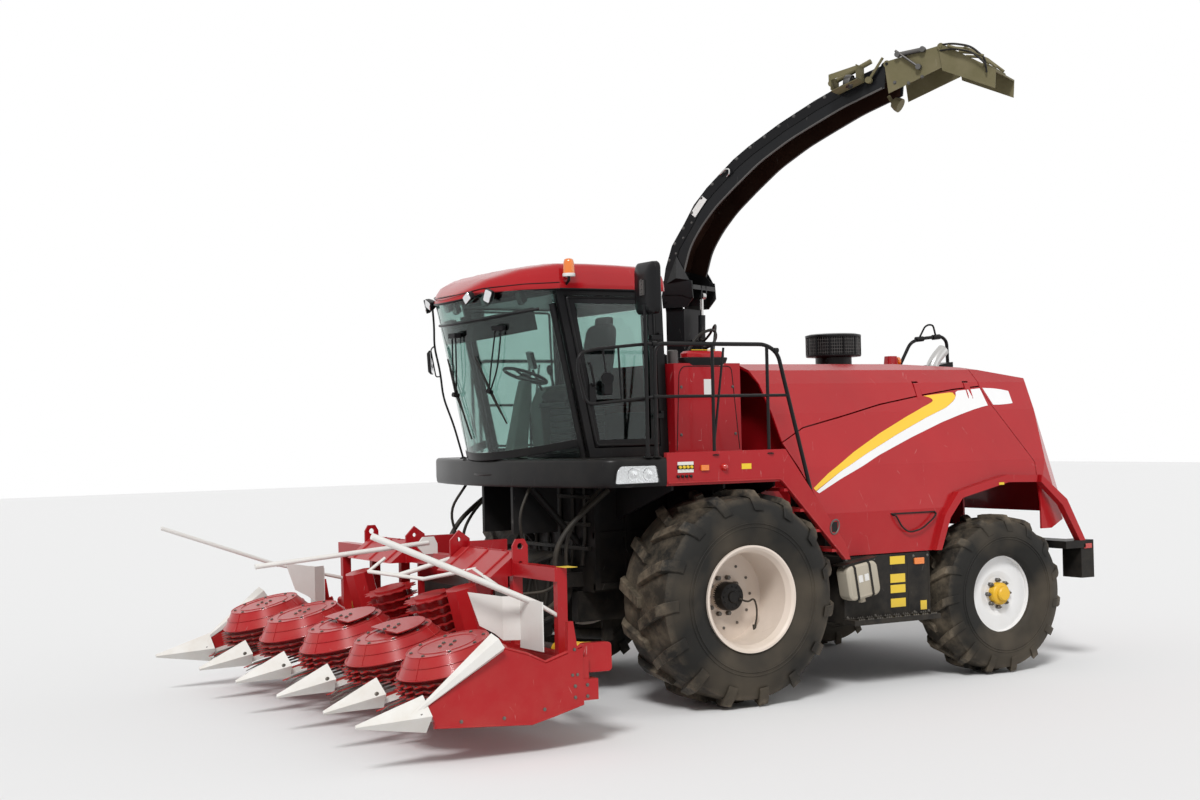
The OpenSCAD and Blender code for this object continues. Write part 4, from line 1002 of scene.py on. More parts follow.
# %% The apron, the seals and the door's handle
corner = rounded([(0.72, 1.6, 0), (1.20, 1.6, 0), (1.33, 1.44, 0), (1.47, 0.90, 0), (1.545, 0.35, 0),
    (1.56, 0.0, 0)], 0.30, 6)
half = [(p.x, p.y) for p in corner]
apron_edge = half + [(x, -y) for x, y in reversed(half[:-1])]


def apron_ring(shrink, z):
    return [at(0.72 + (x - 0.72) * (1 - shrink / 0.8), y * (1 - shrink / 1.6), z) for x, y in apron_edge]


levels = [(0.8, 2.030), (0.10, 2.030), (0.02, 2.028), (0.006, 2.018), (0.0, 2.000), (0.0, 1.86),
    (0.004, 1.82), (0.012, 1.803), (0.030, 1.800), (0.036, 1.81), (0.036, 1.985), (0.8, 1.985)]
shelf = [p for shrink, z in levels for p in apron_ring(shrink, z)]
Bench().add(shelf, quads(len(levels), len(apron_edge))).done("cab_apron", black_trim, "black_paint")
PANE_EDGE = [(0.352, 2.13), (0.385, 3.345), (1.212, 3.345), (0.957, 2.13), (0.352, 2.13)]
for s, side in SIDES:
    rubber = Bench().tube([at(x, s * 0.906, z) for x, z in PANE_EDGE], 0.011, 8, 0.03)
    name, body = ("door_rubber_left", "cab_door") if s > 0 else ("side_rubber", "machine")
    rubber.done(name, black_trim, "black_paint", body)
bench = Bench().tube([at(0.985, 0.915, 2.62), at(0.985, 0.945, 2.62), at(1.02, 0.945, 2.80),
    at(1.02, 0.915, 2.80)], 0.011, 10, 0.02)
bench.block((-0.03, -0.012, -0.09), (0.03, 0.012, 0.09), place(at(0.99, 0.912, 2.55)))
bench.done("door_handle", black_trim, "black_paint", "cab_door", 0.003)
made = loft(Bench(), [(0.045, 0.06, 0.012, 0), (0.04, 0.055, 0.012, 0.035)],
    place(at(0.86, 0.92, 2.60), (0, 1, 0)))
made.done("door_lock", black_trim, "black_paint", "cab_door", 0.003)
print("apron reaches", apron_edge[len(half) - 1][0], "m ahead of the axle")

# %% [markdown]
# The roof is a moulded shell. Its edge runs straight along the sides and rounds off to a nose
# over the windscreen. That edge is swept inwards and upwards, ring by ring, between two lines of
# stations, one for the foot and one for the top, so that the shell gets thin towards the nose. A
# lip, a seam and four lamps under the brow follow the same edge.

# %% The roof
ROOF_REAR, ROOF_SIDE, ROOF_BROW, ROOF_NOSE = 0.262, 0.955, 1.30, 1.91
ROOF_TOP = [(0.26, 3.590), (0.42, 3.640), (0.9, 3.655), (1.28, 3.648), (1.50, 3.605),
    (1.70, 3.525), (1.91, 3.375)]
ROOF_FOOT = [(0.26, 3.405), (1.50, 3.405), (1.75, 3.385), (1.91, 3.335)]


def height_at(stations, x):
    """The height of a broken line of (x, z) stations at x."""
    for (a, za), (b, zb) in zip(stations, stations[1:]):
        if x <= b:
            t = min(1.0, max(0.0, (x - a) / (b - a)))
            return za + (zb - za) * t
    return stations[-1][1]


def brow_at(y):
    """How far forward the roof reaches at y."""
    return ROOF_BROW + (ROOF_NOSE - ROOF_BROW) * max(0.0, 1 - (y / ROOF_SIDE) ** 2) ** 1.25


front_edge = [ROOF_SIDE * math.sin(math.radians(-90 + 180 * k / 80)) for k in range(81)]
front_edge = [(brow_at(y), y) for y in front_edge]
left_edge = [(1.0, 0.955), (0.7, 0.95), (0.4, 0.94), (0.29, 0.93), (0.265, 0.905), (ROOF_REAR, 0.5)]
roof_edge = front_edge + left_edge + [(ROOF_REAR, 0.0)] + [(x, -y) for x, y in reversed(left_edge)]
RINGS = [(0.0, 1.0), (0.35, 1.0), (0.6, 1.0), (0.78, 0.998), (0.88, 0.985), (0.93, 0.955), (0.96, 0.90),
    (0.98, 0.78), (0.992, 0.55), (0.998, 0.25), (1.0, 0.04), (0.995, 0.0), (0.93, 0.0), (0.90, 0.12),
    (0.5, 0.12), (0.0, 0.12)]
skin = []
for share, rise in RINGS:
    for ex, ey in roof_edge:
        x, y = 0.95 + (ex - 0.95) * share, ey * share
        foot, top = height_at(ROOF_FOOT, x), height_at(ROOF_TOP, x) - 0.03 * (y / ROOF_SIDE) ** 2
        skin.append(at(x, y, foot + (top - foot) * rise))
roof = Bench().add(skin, quads(len(RINGS), len(roof_edge), True))
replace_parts(roof.done("cab_roof_shell", red_body, "red_paint"), "cab_roof")
lip = [at(x - 0.008, y * 0.99, height_at(ROOF_FOOT, x) + 0.004) for x, y in roof_edge[-3:] + roof_edge[:84]]
Bench().tube(lip, 0.011, 8).done("roof_lip", black_trim, "black_paint")
seam = [at(x * 0.995 + 0.005, y * 1.0015, height_at(ROOF_FOOT, x) + 0.052) for x, y in front_edge]
Bench().tube(seam, 0.004, 6).done("roof_seam", black_trim, "black_paint")
for i, y in enumerate((-0.62, -0.36, 0.36, 0.62)):
    spot = at(brow_at(y) - 0.11, y, 3.352)
    lamp = Bench().tube([spot + Vector((0, 0, 0.08)), spot], 0.01, 8)
    loft(lamp, [(0.05, 0.04, 0.015, -0.05), (0.062, 0.048, 0.015, 0.0)], place(spot, (0.9, 0.0, -0.35)))
    lamp.done(f"brow_lamp_{i}", black_trim, "black_paint", bevel=0.003)
    made = loft(Bench(), [(0.055, 0.041, 0.012, 0.0), (0.05, 0.036, 0.012, 0.008)],
        place(spot, (0.9, 0.0, -0.35)))
    made.done(f"brow_lens_{i}", lamp_glass, "lamp")
print("roof's edge has", len(roof_edge), "points")

# %% [markdown]
# Two wipers hang from the top of the windscreen on twin arms, and a small mirror stands before
# it on a bent bow, so that the driver sees what lies close ahead. All their points are given on
# the windscreen's own surface, a little proud of it. Rubbers close it at head and foot.

# %% Wipers, bow mirror and windscreen rubbers
for i, (turn, foot, reach) in enumerate(((0.62, 3.27, 2.50), (0.10, 3.27, 2.40))):
    arms = Bench()
    for off in (-0.035, 0.035):
        arms.tube([on_screen(turn + off * 0.8, foot, 0.045), on_screen(turn + off - 0.12, 2.95, 0.05),
            on_screen(turn - 0.22 + off * 0.2, 2.78, 0.04)], 0.007, 8, 0.1)
    arms.block((-0.05, -0.02, -0.03), (0.05, 0.02, 0.03),
        place(on_screen(turn, foot, 0.04), (math.cos(turn), math.sin(turn), 0)))
    arms.turned([(0.02, -0.03), (0.02, 0.03)],
        place(on_screen(turn - 0.22, 2.78, 0.04), (math.cos(turn), math.sin(turn), 0.2)), 12)
    arms.done(f"wiper_arms_{i}", black_trim, "black_paint")
    blade = Bench().tube([on_screen(turn - 0.33 + 0.20 * k / 8, 3.08 - (3.08 - reach) * k / 8, 0.014)
        for k in range(9)], 0.008, 6)
    blade.tube([on_screen(turn - 0.30, 3.0, 0.02), on_screen(turn - 0.22, 2.78, 0.04),
        on_screen(turn - 0.16, 2.58, 0.02)], 0.006, 6, 0.05)
    blade.done(f"wiper_blade_{i}", hose_rubber, "black_paint")
bow = math.radians(-27)
arm = Bench().tube([on_screen(bow, z, proud) for z, proud in ((3.565, 0.025), (3.36, 0.05), (3.20, 0.085),
    (2.98, 0.08), (2.76, 0.10), (2.50, 0.06), (2.215, 0.04))], 0.009, 10, 0.08)
arm.tube([on_screen(bow, 3.20, 0.085), on_screen(bow, 3.18, 0.12), on_screen(bow, 2.94, 0.125),
    on_screen(bow, 2.94, 0.08)], 0.006, 8, 0.03)
arm.turned([(0.03, 0.0), (0.03, 0.008), (0.012, 0.02)], place(on_screen(bow, 2.212, 0.04)), 16)
arm.done("bow_mirror_arm", black_trim, "black_paint")
bow_place = place(on_screen(bow, 3.07, 0.135), (-0.75, 0.55, 0.05), (0.55, 0.75, 0))
made = loft(Bench(), [(0.05, 0.10, 0.02, 0), (0.055, 0.105, 0.022, -0.008),
    (0.04, 0.085, 0.02, -0.03)], bow_place)
made.done("bow_mirror_shell", black_trim, "black_paint", bevel=0.002)
made = loft(Bench(), [(0.046, 0.095, 0.018, 0.001), (0.046, 0.095, 0.018, 0.003)], bow_place)
made.done("bow_mirror_glass", bowl_steel, "chrome")
edge = Bench()
for z in (2.095, 3.36):
    edge.tube([on_screen(a, z, 0.002) for a in bowed(57, 24)], 0.011, 8)
edge.done("screen_rubber", black_trim, "black_paint")
strip = [on_screen(a, z, -0.012) for z in (3.20, 3.38) for a in bowed(54, 24)]
Bench().add(strip, quads(2, 25)).done("screen_shade", black_trim, "black_paint")
for s, side in SIDES:
    post = [on_screen(s * math.radians(63.5), z, -0.01) for z in (2.1, 3.38)]
    Bench().tube(post, 0.028, 10).done(f"screen_post_{side}", black_trim, "black_paint")
print("windscreen reaches", round(on_screen(0, 3.3).x, 2))

# %% [markdown]
# Inside stand a seat, a steering column with its wheel, a console and a monitor. The seat is
# soft, so its solid is replaced by crowned cushions whose edges pull in, made from a smooth grid
# rather than a block.

# %% Seat, column and console
def cushion(name, centre, size, thick, axes, seams=3):
    """A pad: flat below, crowned above, its edge pulled in, with sewn channels across."""
    n = 26
    points, faces = [], []
    for layer in (0, 1):
        for i in range(n + 1):
            for j in range(n + 1):
                u, v = 2 * i / n - 1, 2 * j / n - 1
                pull = 1 - 0.06 * (abs(u) ** 3 * abs(v) ** 3) * 2
                fall = (max(0.0, 1 - abs(u) ** 5) * max(0.0, 1 - abs(v) ** 5)) ** 0.45
                sewn = 1 - 0.10 * sum(math.exp(-((v - w) / 0.05) ** 2) for w in (-0.5, 0.0, 0.5)[:seams])
                crown = 1.12 - 0.12 * (u * u + v * v)
                h = 0.5 + 0.5 * fall * sewn * crown if layer else 0.5 - 0.5 * fall * 0.9
                points.append((u * size[0] / 2 * pull, v * size[1] / 2 * pull, (h - 0.5) * thick))
    side = n + 1
    for layer in (0, 1):
        for i in range(n):
            for j in range(n):
                a = layer * side * side + i * side + j
                quad = (a, a + side, a + side + 1, a + 1)
                faces.append(quad if layer else tuple(reversed(quad)))
    piece = Bench().add(points, faces, place(centre, *axes)).done(name, seat_cloth, "seat")
    weld = piece.modifiers.new("sewn edge", "WELD")
    weld.merge_threshold = 0.003
    soft = piece.modifiers.new("soft", "SUBSURF")
    soft.levels = soft.render_levels = 1
    return piece


seat_x = 0.62
BACK_AXES = ((1, 0, 0.15), (0, 1, 0))
pads = [cushion("seat_pad", at(seat_x + 0.02, 0, 2.56), (0.49, 0.49), 0.13, ((0.03, 0, 1), (1, 0, 0))),
        cushion("seat_back", at(seat_x - 0.225, 0, 2.90), (0.48, 0.60), 0.12, BACK_AXES),
        cushion("seat_head", at(seat_x - 0.29, 0, 3.20), (0.26, 0.10), 0.08, BACK_AXES, seams=0)]
base = Bench().turned([(0.19, 0), (0.19, 0.03), (0.14, 0.05)], place(at(seat_x, 0, 2.07)), 28)
for k in range(6):
    base.block((-0.17 + 0.004 * (k % 2), -0.19, 0), (0.17, 0.19, 0.05),
        place(at(seat_x, 0, 2.12 + 0.055 * k)))
base.block((-0.24, -0.24, 0), (0.25, 0.24, 0.04), place(at(seat_x, 0, 2.46)))
base.done("seat_base", black_trim, "seat", bevel=0.006)
column = loft(Bench(), [(0.085, 0.075, 0.03, 0), (0.075, 0.06, 0.03, 0.25), (0.06, 0.055, 0.025, 0.52),
    (0.045, 0.05, 0.02, 0.66)], place(at(1.235, 0, 2.035), (-0.165, 0, 1)))
column.done("steering_column", console_grey, "seat", bevel=0.004)
wheel_at = place(at(1.125, 0, 2.735), (-math.sin(math.radians(20)), 0, math.cos(math.radians(20))))
wheel = Bench().tube([wheel_at @ around(0.19, a) for a in turns(36, closed=True)], 0.015, 10)
for a in (0.5, 2.64, 4.71):
    wheel.tube([wheel_at @ around(0.03, a, -0.01), wheel_at @ around(0.185, a)], 0.01, 8)
wheel.turned([(0.05, -0.02), (0.05, 0.0), (0.035, 0.014)], wheel_at, 20)
wheel.done("steering_wheel", black_trim, "seat")
CONSOLE = [(-0.225, -0.30), (-0.225, 0.24), (-0.12, 0.30), (0.15, 0.27), (0.225, 0.10), (0.20, -0.30)]
m = Matrix.Translation(at(0.575, -0.445, 2.375)) @ Matrix.Rotation(math.pi / 2, 4, "X")
console = Bench().sheet(CONSOLE, -0.10, 0.10, m)
console.done("side_console", console_grey, "seat", bevel=0.008)
lever = Bench().tube([at(0.62, -0.42, 2.66), at(0.65, -0.42, 2.78)], 0.012, 10)
lever.turned([(0.02, 0), (0.03, 0.03), (0.028, 0.07), (0.012, 0.085)],
    place(at(0.65, -0.42, 2.76), (0.1, 0, 1)), 16)
lever.tube([at(0.75, -0.40, 2.62), at(0.86, -0.36, 2.80)], 0.012, 8)
loft(lever, [(0.11, 0.075, 0.012, 0), (0.11, 0.075, 0.012, 0.035)],
    place(at(0.90, -0.34, 2.88), (-0.9, 0.3, 0.25), (0, 1, 0)))
lever.done("lever_and_monitor", black_trim, "seat", bevel=0.003)
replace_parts(pads[0], "cab_seat")
print("seat pads:", [p.name for p in pads])

# %% [markdown]
# On the hood stand the air intake, a drum of perforated sheet with a lid, and the exhaust, a
# bright elbow cut off at a slant. The drum's bars are real, so that light passes between them.

# %% Air intake, exhaust and the lamp on the hood
intake = at(-2.05, 0.2, 2.80)
drum = Bench()
drum.turned([(0.17, 0.0), (0.17, 0.085), (0.255, 0.092), (0.258, 0.10), (0.258, 0.112)], place(intake), 40)
drum.turned([(0.262, 0.275), (0.262, 0.295), (0.22, 0.306), (0.02, 0.31)], place(intake), 40)
drum.turned([(0.235, 0.10), (0.235, 0.28)], place(intake), 40)
for a in turns(12, 0.5):
    drum.tube([intake + around(0.254, a, h) for h in (0.10, 0.285)], 0.008, 6)
drum.done("intake_drum", black_trim, "plastic_black", bevel=0.002)
wires = Bench()
for a in turns(72):
    wires.tube([intake + around(0.252, a, h) for h in (0.105, 0.28)], 0.0022, 4)
for h in (0.13, 0.16, 0.19, 0.22, 0.25):
    wires.tube([intake + around(0.252, a, h) for a in turns(40, closed=True)], 0.0022, 4)
wires.done("intake_screen", dull_steel, "plastic_black")
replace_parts(bpy.data.objects["intake_drum"], "air_intake")
pipe = [at(-2.885, 0.62, 2.74), at(-2.895, 0.62, 2.80), at(-2.95, 0.62, 2.87), at(-3.035, 0.62, 2.945)]
elbow = Bench().tube(rounded(pipe, 0.05), 0.056, 28)
elbow.turned([(0.068, 0), (0.068, 0.02), (0.058, 0.026)], place(at(-2.887, 0.62, 2.765)), 28)
elbow.done("exhaust_elbow", bright_steel, "chrome", bevel=0.002)
made = Bench().turned([(0.050, 0), (0.050, 0.003)], place(at(-3.036, 0.62, 2.946), (-0.75, 0, 0.66)), 28)
made.done("exhaust_mouth", black_trim, "black_paint")
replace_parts(bpy.data.objects["exhaust_elbow"], "exhaust")
lamp = loft(Bench(), [(0.06, 0.05, 0.02, 0), (0.05, 0.045, 0.02, 0.11)], place(at(-2.64, 0.32, 2.785)))
lamp.done("hood_lamp_housing", red_body, "red_paint", bevel=0.004)
made = Bench().turned([(0.045, 0), (0.045, 0.03), (0.03, 0.042)],
    place(at(-2.70, 0.32, 2.845), (-1, 0, 0)), 24)
made.done("hood_lamp", amber, "lamp")
print("intake drum at", [round(v, 2) for v in intake])

# %% [markdown]
# The spout is a long bent trough, open below, with a flat band along each side that carries a
# row of bolts. The band is a strip that keeps its distance from the outer edge, so the same
# edge points serve for the band, its bolts, the brown rubbed lining and the thin edge bead.

# %% The spout
SPOUT_EDGE = [(-0.140, 3.70), (-0.070, 3.90), (0.060, 4.09), (0.160, 4.25), (0.290, 4.39), (0.430, 4.51),
    (0.560, 4.62), (0.710, 4.72), (1.010, 4.89), (1.340, 5.05), (1.700, 5.20), (1.960, 5.277)]
SPOUT_INNER = [(0.040, 3.64), (0.110, 3.87), (0.220, 4.04), (0.370, 4.21), (0.570, 4.38), (0.810, 4.57),
    (1.100, 4.74), (1.340, 4.85), (1.610, 4.97), (1.960, 5.09)]


def inset(path, depth):
    """The same line moved towards the spout's hollow side."""
    out = []
    for i, p in enumerate(path):
        a, b = path[max(i - 1, 0)], path[min(i + 1, len(path) - 1)]
        way = Vector((b[0] - a[0], b[1] - a[1])).normalized()
        out.append((p[0] + way.y * depth, p[1] - way.x * depth))
    return out


for s, label in ((-1, "near"), (1, "far")):
    wide = SPOUT_HALF
    edge = SPOUT_EDGE[:-1] + [along(SPOUT_EDGE, 0.972)]
    outer, inner = inset(edge, 0.004), inset(edge, 0.086)
    n = len(outer)
    points = [in_spout(r, s * (wide + h), z) for h in (0.0, 0.007) for r, z in outer + inner]
    faces = []
    for i in range(n - 1):
        faces += [(2 * n + i, 2 * n + i + 1, 3 * n + i + 1, 3 * n + i),
            (i, i + 1, 2 * n + i + 1, 2 * n + i), (n + i, 3 * n + i, 3 * n + i + 1, n + i + 1)]
    faces += [(0, 2 * n, 3 * n, n), (n - 1, 2 * n - 1, 4 * n - 1, 3 * n - 1)]
    Bench().add(points, faces).done(f"spout_band_{label}", black_trim, "black_paint", "chute")
    bolts = Bench()
    middle = inset(SPOUT_EDGE, 0.02)
    out = (in_spout(0, s, 0) - in_spout(0, 0, 0)).normalized()
    for k in range(17):
        p = along(middle, (k + 0.5) / 17)
        bolts.bolt(in_spout(p[0], s * (wide + 0.007), p[1]), out, 0.011)
    for k in (1, 2, 3):
        p = along(inset(SPOUT_EDGE, 0.066), k / 17)
        bolts.bolt(in_spout(p[0], s * (wide + 0.007), p[1]), out, 0.008)
    bolts.done(f"spout_bolts_{label}", dull_steel, "chrome", "chute")
    bead = [in_spout(r, s * (wide - 0.004), z) for r, z in SPOUT_INNER]
    Bench().tube(bead, 0.009, 8, 0.08).done(f"spout_edge_bead_{label}", dull_steel, "black_paint", "chute")
    knee = [(-0.125, 3.56), (-0.02, 3.80), (0.105, 3.58)]
    ring = [in_spout(r, s * (wide + 0.012), z) for r, z in knee] + [in_spout(-0.01, s * (wide + 0.052), 3.60)]
    made = Bench().add(ring, [(0, 1, 3), (1, 2, 3), (2, 0, 3), (0, 2, 1)])
    made.done(f"knee_gusset_{label}", spout_black, "black_paint", "chute")
    box = [(-0.165, 3.585), (0.02, 3.60), (0.125, 3.575), (0.135, 3.43), (0.11, 3.415),
        (0.02, 3.45), (-0.155, 3.46)]
    knee_box = [[in_spout(r, s * (wide + h), z) for r, z in box] for h in (-0.004, 0.010)]
    Bench().slab(*knee_box).done(f"knee_plate_{label}", spout_black, "black_paint", "chute", 0.003)
lining = Bench()
line = inset(SPOUT_EDGE, 0.022)
n = len(line)
lining.add([in_spout(r, side, z) for side in (-0.212, 0.212) for r, z in line], quads(2, n))
low = [along(SPOUT_INNER, k / (n - 1)) for k in range(n)]
for s in (-1, 1):
    lining.add([in_spout(r, s * 0.2125, z) for r, z in line + low], quads(2, n))
lining.done("spout_lining", spout_inside, "black_paint", "chute")
out = (in_spout(0, -1, 0) - in_spout(0, 0, 0)).normalized()
# one blank plate on the near side band, laid along the bend
a, b = (along(inset(SPOUT_EDGE, 0.048), share) for share in (0.215, 0.255))
lie = in_spout(b[0], 0, b[1]) - in_spout(a[0], 0, a[1])
m = place(in_spout((a[0] + b[0]) / 2, -(SPOUT_HALF + 0.0065), (a[1] + b[1]) / 2), out, lie)
sign = Bench().sheet([(-0.095, -0.03), (0.095, -0.03), (0.095, 0.03), (-0.095, 0.03)], 0, 0.003, m)
sign.done("spout_plate", plate_white, "white_paint", "chute")
clip = Bench()
m = place(in_spout(0.50, -(SPOUT_HALF + 0.007), 4.50), out, in_spout(0.6, 0, 4.6) - in_spout(0.5, 0, 4.52))
clip.tube([m @ Vector(p) for p in ((-0.05, 0.02, 0), (-0.05, 0.03, 0.03), (0.02, 0.03, 0.035),
    (0.05, 0.0, 0.03), (0.02, -0.03, 0.03), (-0.02, -0.02, 0.0))], 0.008, 8, 0.02)
clip.done("spout_hose_clip", bright_steel, "chrome", "chute")
bracket = Bench()
for reach, drop in ((1.57, 5.07), (1.80, 5.15)):
    ear = [(-0.235, drop + 0.01), (-0.235, drop + 0.13), (-0.42, drop + 0.13), (-0.42, drop + 0.02)]
    bracket.slab(*[[in_spout(reach + h, y, z) for y, z in ear] for h in (0, 0.006)])
front = [(1.555, 5.165), (1.555, 5.22), (1.81, 5.27), (1.81, 5.235)]
bracket.slab(*[[in_spout(r, -0.42 + h, z) for r, z in front] for h in (0, 0.006)])
shelf = [in_spout(r, y, z + h) for h in (0, 0.006) for r, z in ((1.57, 5.075), (1.81, 5.155))
    for y in (-0.232, -0.415)]
bracket.add(shelf, BLOCK_FACES)
bracket.done("spout_lamp_bracket", olive_flap, "olive_paint", "chute", 0.002)
m = place(in_spout(1.70, -0.33, 5.16), in_spout(1, 0, -0.3) - in_spout(0, 0, 0))
lamp = Bench().turned([(0.05, -0.03), (0.058, 0.0), (0.058, 0.03)], m,
    24).turned([(0.04, 0.03), (0.02, 0.045)], m, 20)
lamp.done("spout_lamp", dull_steel, "chrome", "chute")
m = place(in_spout(2.02, 0, 4.975), in_spout(1, 0, -0.6) - in_spout(0, 0, 0))
lamp = Bench().tube([in_spout(1.93, 0, 5.06), in_spout(1.98, 0, 4.98)], 0.016, 8)
lamp.turned([(0.045, -0.05), (0.06, -0.01), (0.062, 0.02)], m, 24).done("spout_low_lamp", olive_flap,
    "olive_paint", "chute")
print("spout band has", n, "points")

# %% [markdown]
# At the end of the spout two flaps steer the crop. They are moved by a small cylinder and link
# rods beside it. The cylinder rides on the spout and the links ride on their flap, near the
# hinges, where they hardly move apart.

# %% Flap gear and hoses on the spout
gear = Bench()
gear.tube([in_spout(1.86, -0.275, 5.16), in_spout(1.99, -0.275, 5.335)], 0.012, 10)
gear.tube([in_spout(1.52, -0.255, 5.175), in_spout(1.88, -0.262, 5.32)], 0.022, 14)
gear.turned([(0.03, -0.02), (0.03, 0.02)], place(in_spout(1.52, -0.255, 5.175), out), 16)
gear.turned([(0.028, -0.02), (0.028, 0.02)], place(in_spout(1.86, -0.275, 5.16), out), 16)
gear.done("flap_cylinder", olive_flap, "olive_paint", "chute")
rods = Bench()
rods.tube([in_spout(2.10, -0.272, 5.38), in_spout(2.30, -0.275, 5.22)], 0.011, 10)
rods.tube([in_spout(2.12, -0.262, 5.345), in_spout(2.34, -0.264, 5.362)], 0.02, 12)
for r, z in ((2.30, 5.22), (2.12, 5.345), (2.34, 5.362)):
    rods.turned([(0.024, -0.018), (0.024, 0.018)], place(in_spout(r, -0.272, z), out), 14)
for r, z in ((2.08, 5.12), (2.20, 5.10), (2.32, 5.14)):
    rods.bolt(in_spout(r, -0.246, z), out, 0.011)
rods.done("flap_rods", dull_steel, "olive_paint", "flap_mid")
tip = Bench()
tip.tube([in_spout(2.56, -0.29, 5.36), in_spout(2.86, -0.29, 5.24)], 0.012, 10)
tip.tube([in_spout(2.70, -0.27, 5.33), in_spout(2.70, 0.27, 5.33)], 0.014, 10)
tip.tube([in_spout(2.86, -0.28, 5.18), in_spout(2.86, 0.28, 5.18)], 0.012, 10)
for y in (-0.2, 0.0, 0.2):
    tip.tube([in_spout(2.56, y, 5.36), in_spout(2.72, y, 5.33), in_spout(2.88, y, 5.19)], 0.012, 8, 0.05)
tip.done("tip_flap_frame", olive_flap, "olive_paint", "flap_tip")
loop = [in_spout(r, y, z) for r, y, z in ((2.47, -0.24, 5.385), (2.60, -0.29, 5.375), (2.76, -0.30, 5.33),
    (2.87, -0.29, 5.22), (2.87, -0.27, 5.15))]
hoses = Bench().tube(loop, 0.009, 8, 0.06).tube([p + Vector((0.01, 0.02, -0.05))
    for p in loop], 0.008, 8, 0.06)
hoses.done("flap_hoses", hose_rubber, "black_paint", "flap_tip")
top_hose = Bench()
for side in (-0.10, -0.07):
    top_hose.tube([in_spout(r, side, z) for r, z in inset(SPOUT_EDGE, -0.012)], 0.009, 8)
top_hose.done("spout_top_hoses", hose_rubber, "black_paint", "chute")
print("hoses run over", round(sum(math.dist(a, b)
    for a, b in zip(SPOUT_EDGE, SPOUT_EDGE[1:])), 2), "m of spout")

# %% [markdown]
# The turntable is a toothed ring turned by a small motor. Its teeth, the ring of bolts, and the
# hoses that come up from the tray to the lift cylinder are what shows beside the black neck.

# %% Turntable and its hoses
ring_at = in_spout(-0.07, 0, 2.85)
teeth = Bench()
for a in turns(72):
    m = place(ring_at + around(0.287, a, 0.004), (0, 0, 1), around(1, a))
    teeth.block((0, -0.007, 0), (0.012, 0.007, 0.05), m)
teeth.done("turntable_teeth", dull_steel, "black_paint", "turntable")
ring_bolts = Bench()
for a in turns(16, 0.5):
    ring_bolts.bolt(ring_at + around(0.272, a, 0.066), (0, 0, 1), 0.012)
ring_bolts.done("turntable_bolts", dull_steel, "chrome", "turntable")
seal = Bench()
seal_place = place(in_spout(0, 0, 3.30), (0, 0, 1), in_spout(1, 0, 0) - in_spout(0, 0, 0))
for s, side in SIDES:
    seal.side_block(s, (-0.143, 0.176, 0.0), (0.003, 0.183, 0.072), seal_place)
seal.done("neck_seal", hose_rubber, "black_paint", "turntable", 0.001)
motor = at(SPOUT_X + 0.38, 0.25, 2.80)
motor = Bench().turned([(0.07, 0), (0.07, 0.02), (0.05, 0.03), (0.05, 0.14), (0.035, 0.15)], place(motor), 24)
motor.done("turntable_motor", dull_steel, "black_paint", bevel=0.002)
rise = [at(-0.20, 0.93, 2.91), at(-0.24, 0.90, 3.06), at(-0.36, 0.74, 3.16), at(-0.46, 0.50, 3.08),
    at(-0.50, 0.33, 3.02), at(-0.56, 0.20, 3.05)]
sweep = [at(0.06, 0.93, 2.90), at(-0.02, 0.96, 3.04), at(-0.20, 0.93, 3.10), at(-0.34, 0.78, 3.05),
    at(-0.42, 0.60, 2.98), at(-0.50, 0.35, 2.96), at(-0.56, 0.22, 2.99)]
made = Bench().tube(rise, 0.011, 10, 0.15).tube(sweep, 0.013, 10, 0.15)
made.done("turntable_hoses", hose_rubber, "black_paint")
print("turntable ring has 72 teeth")
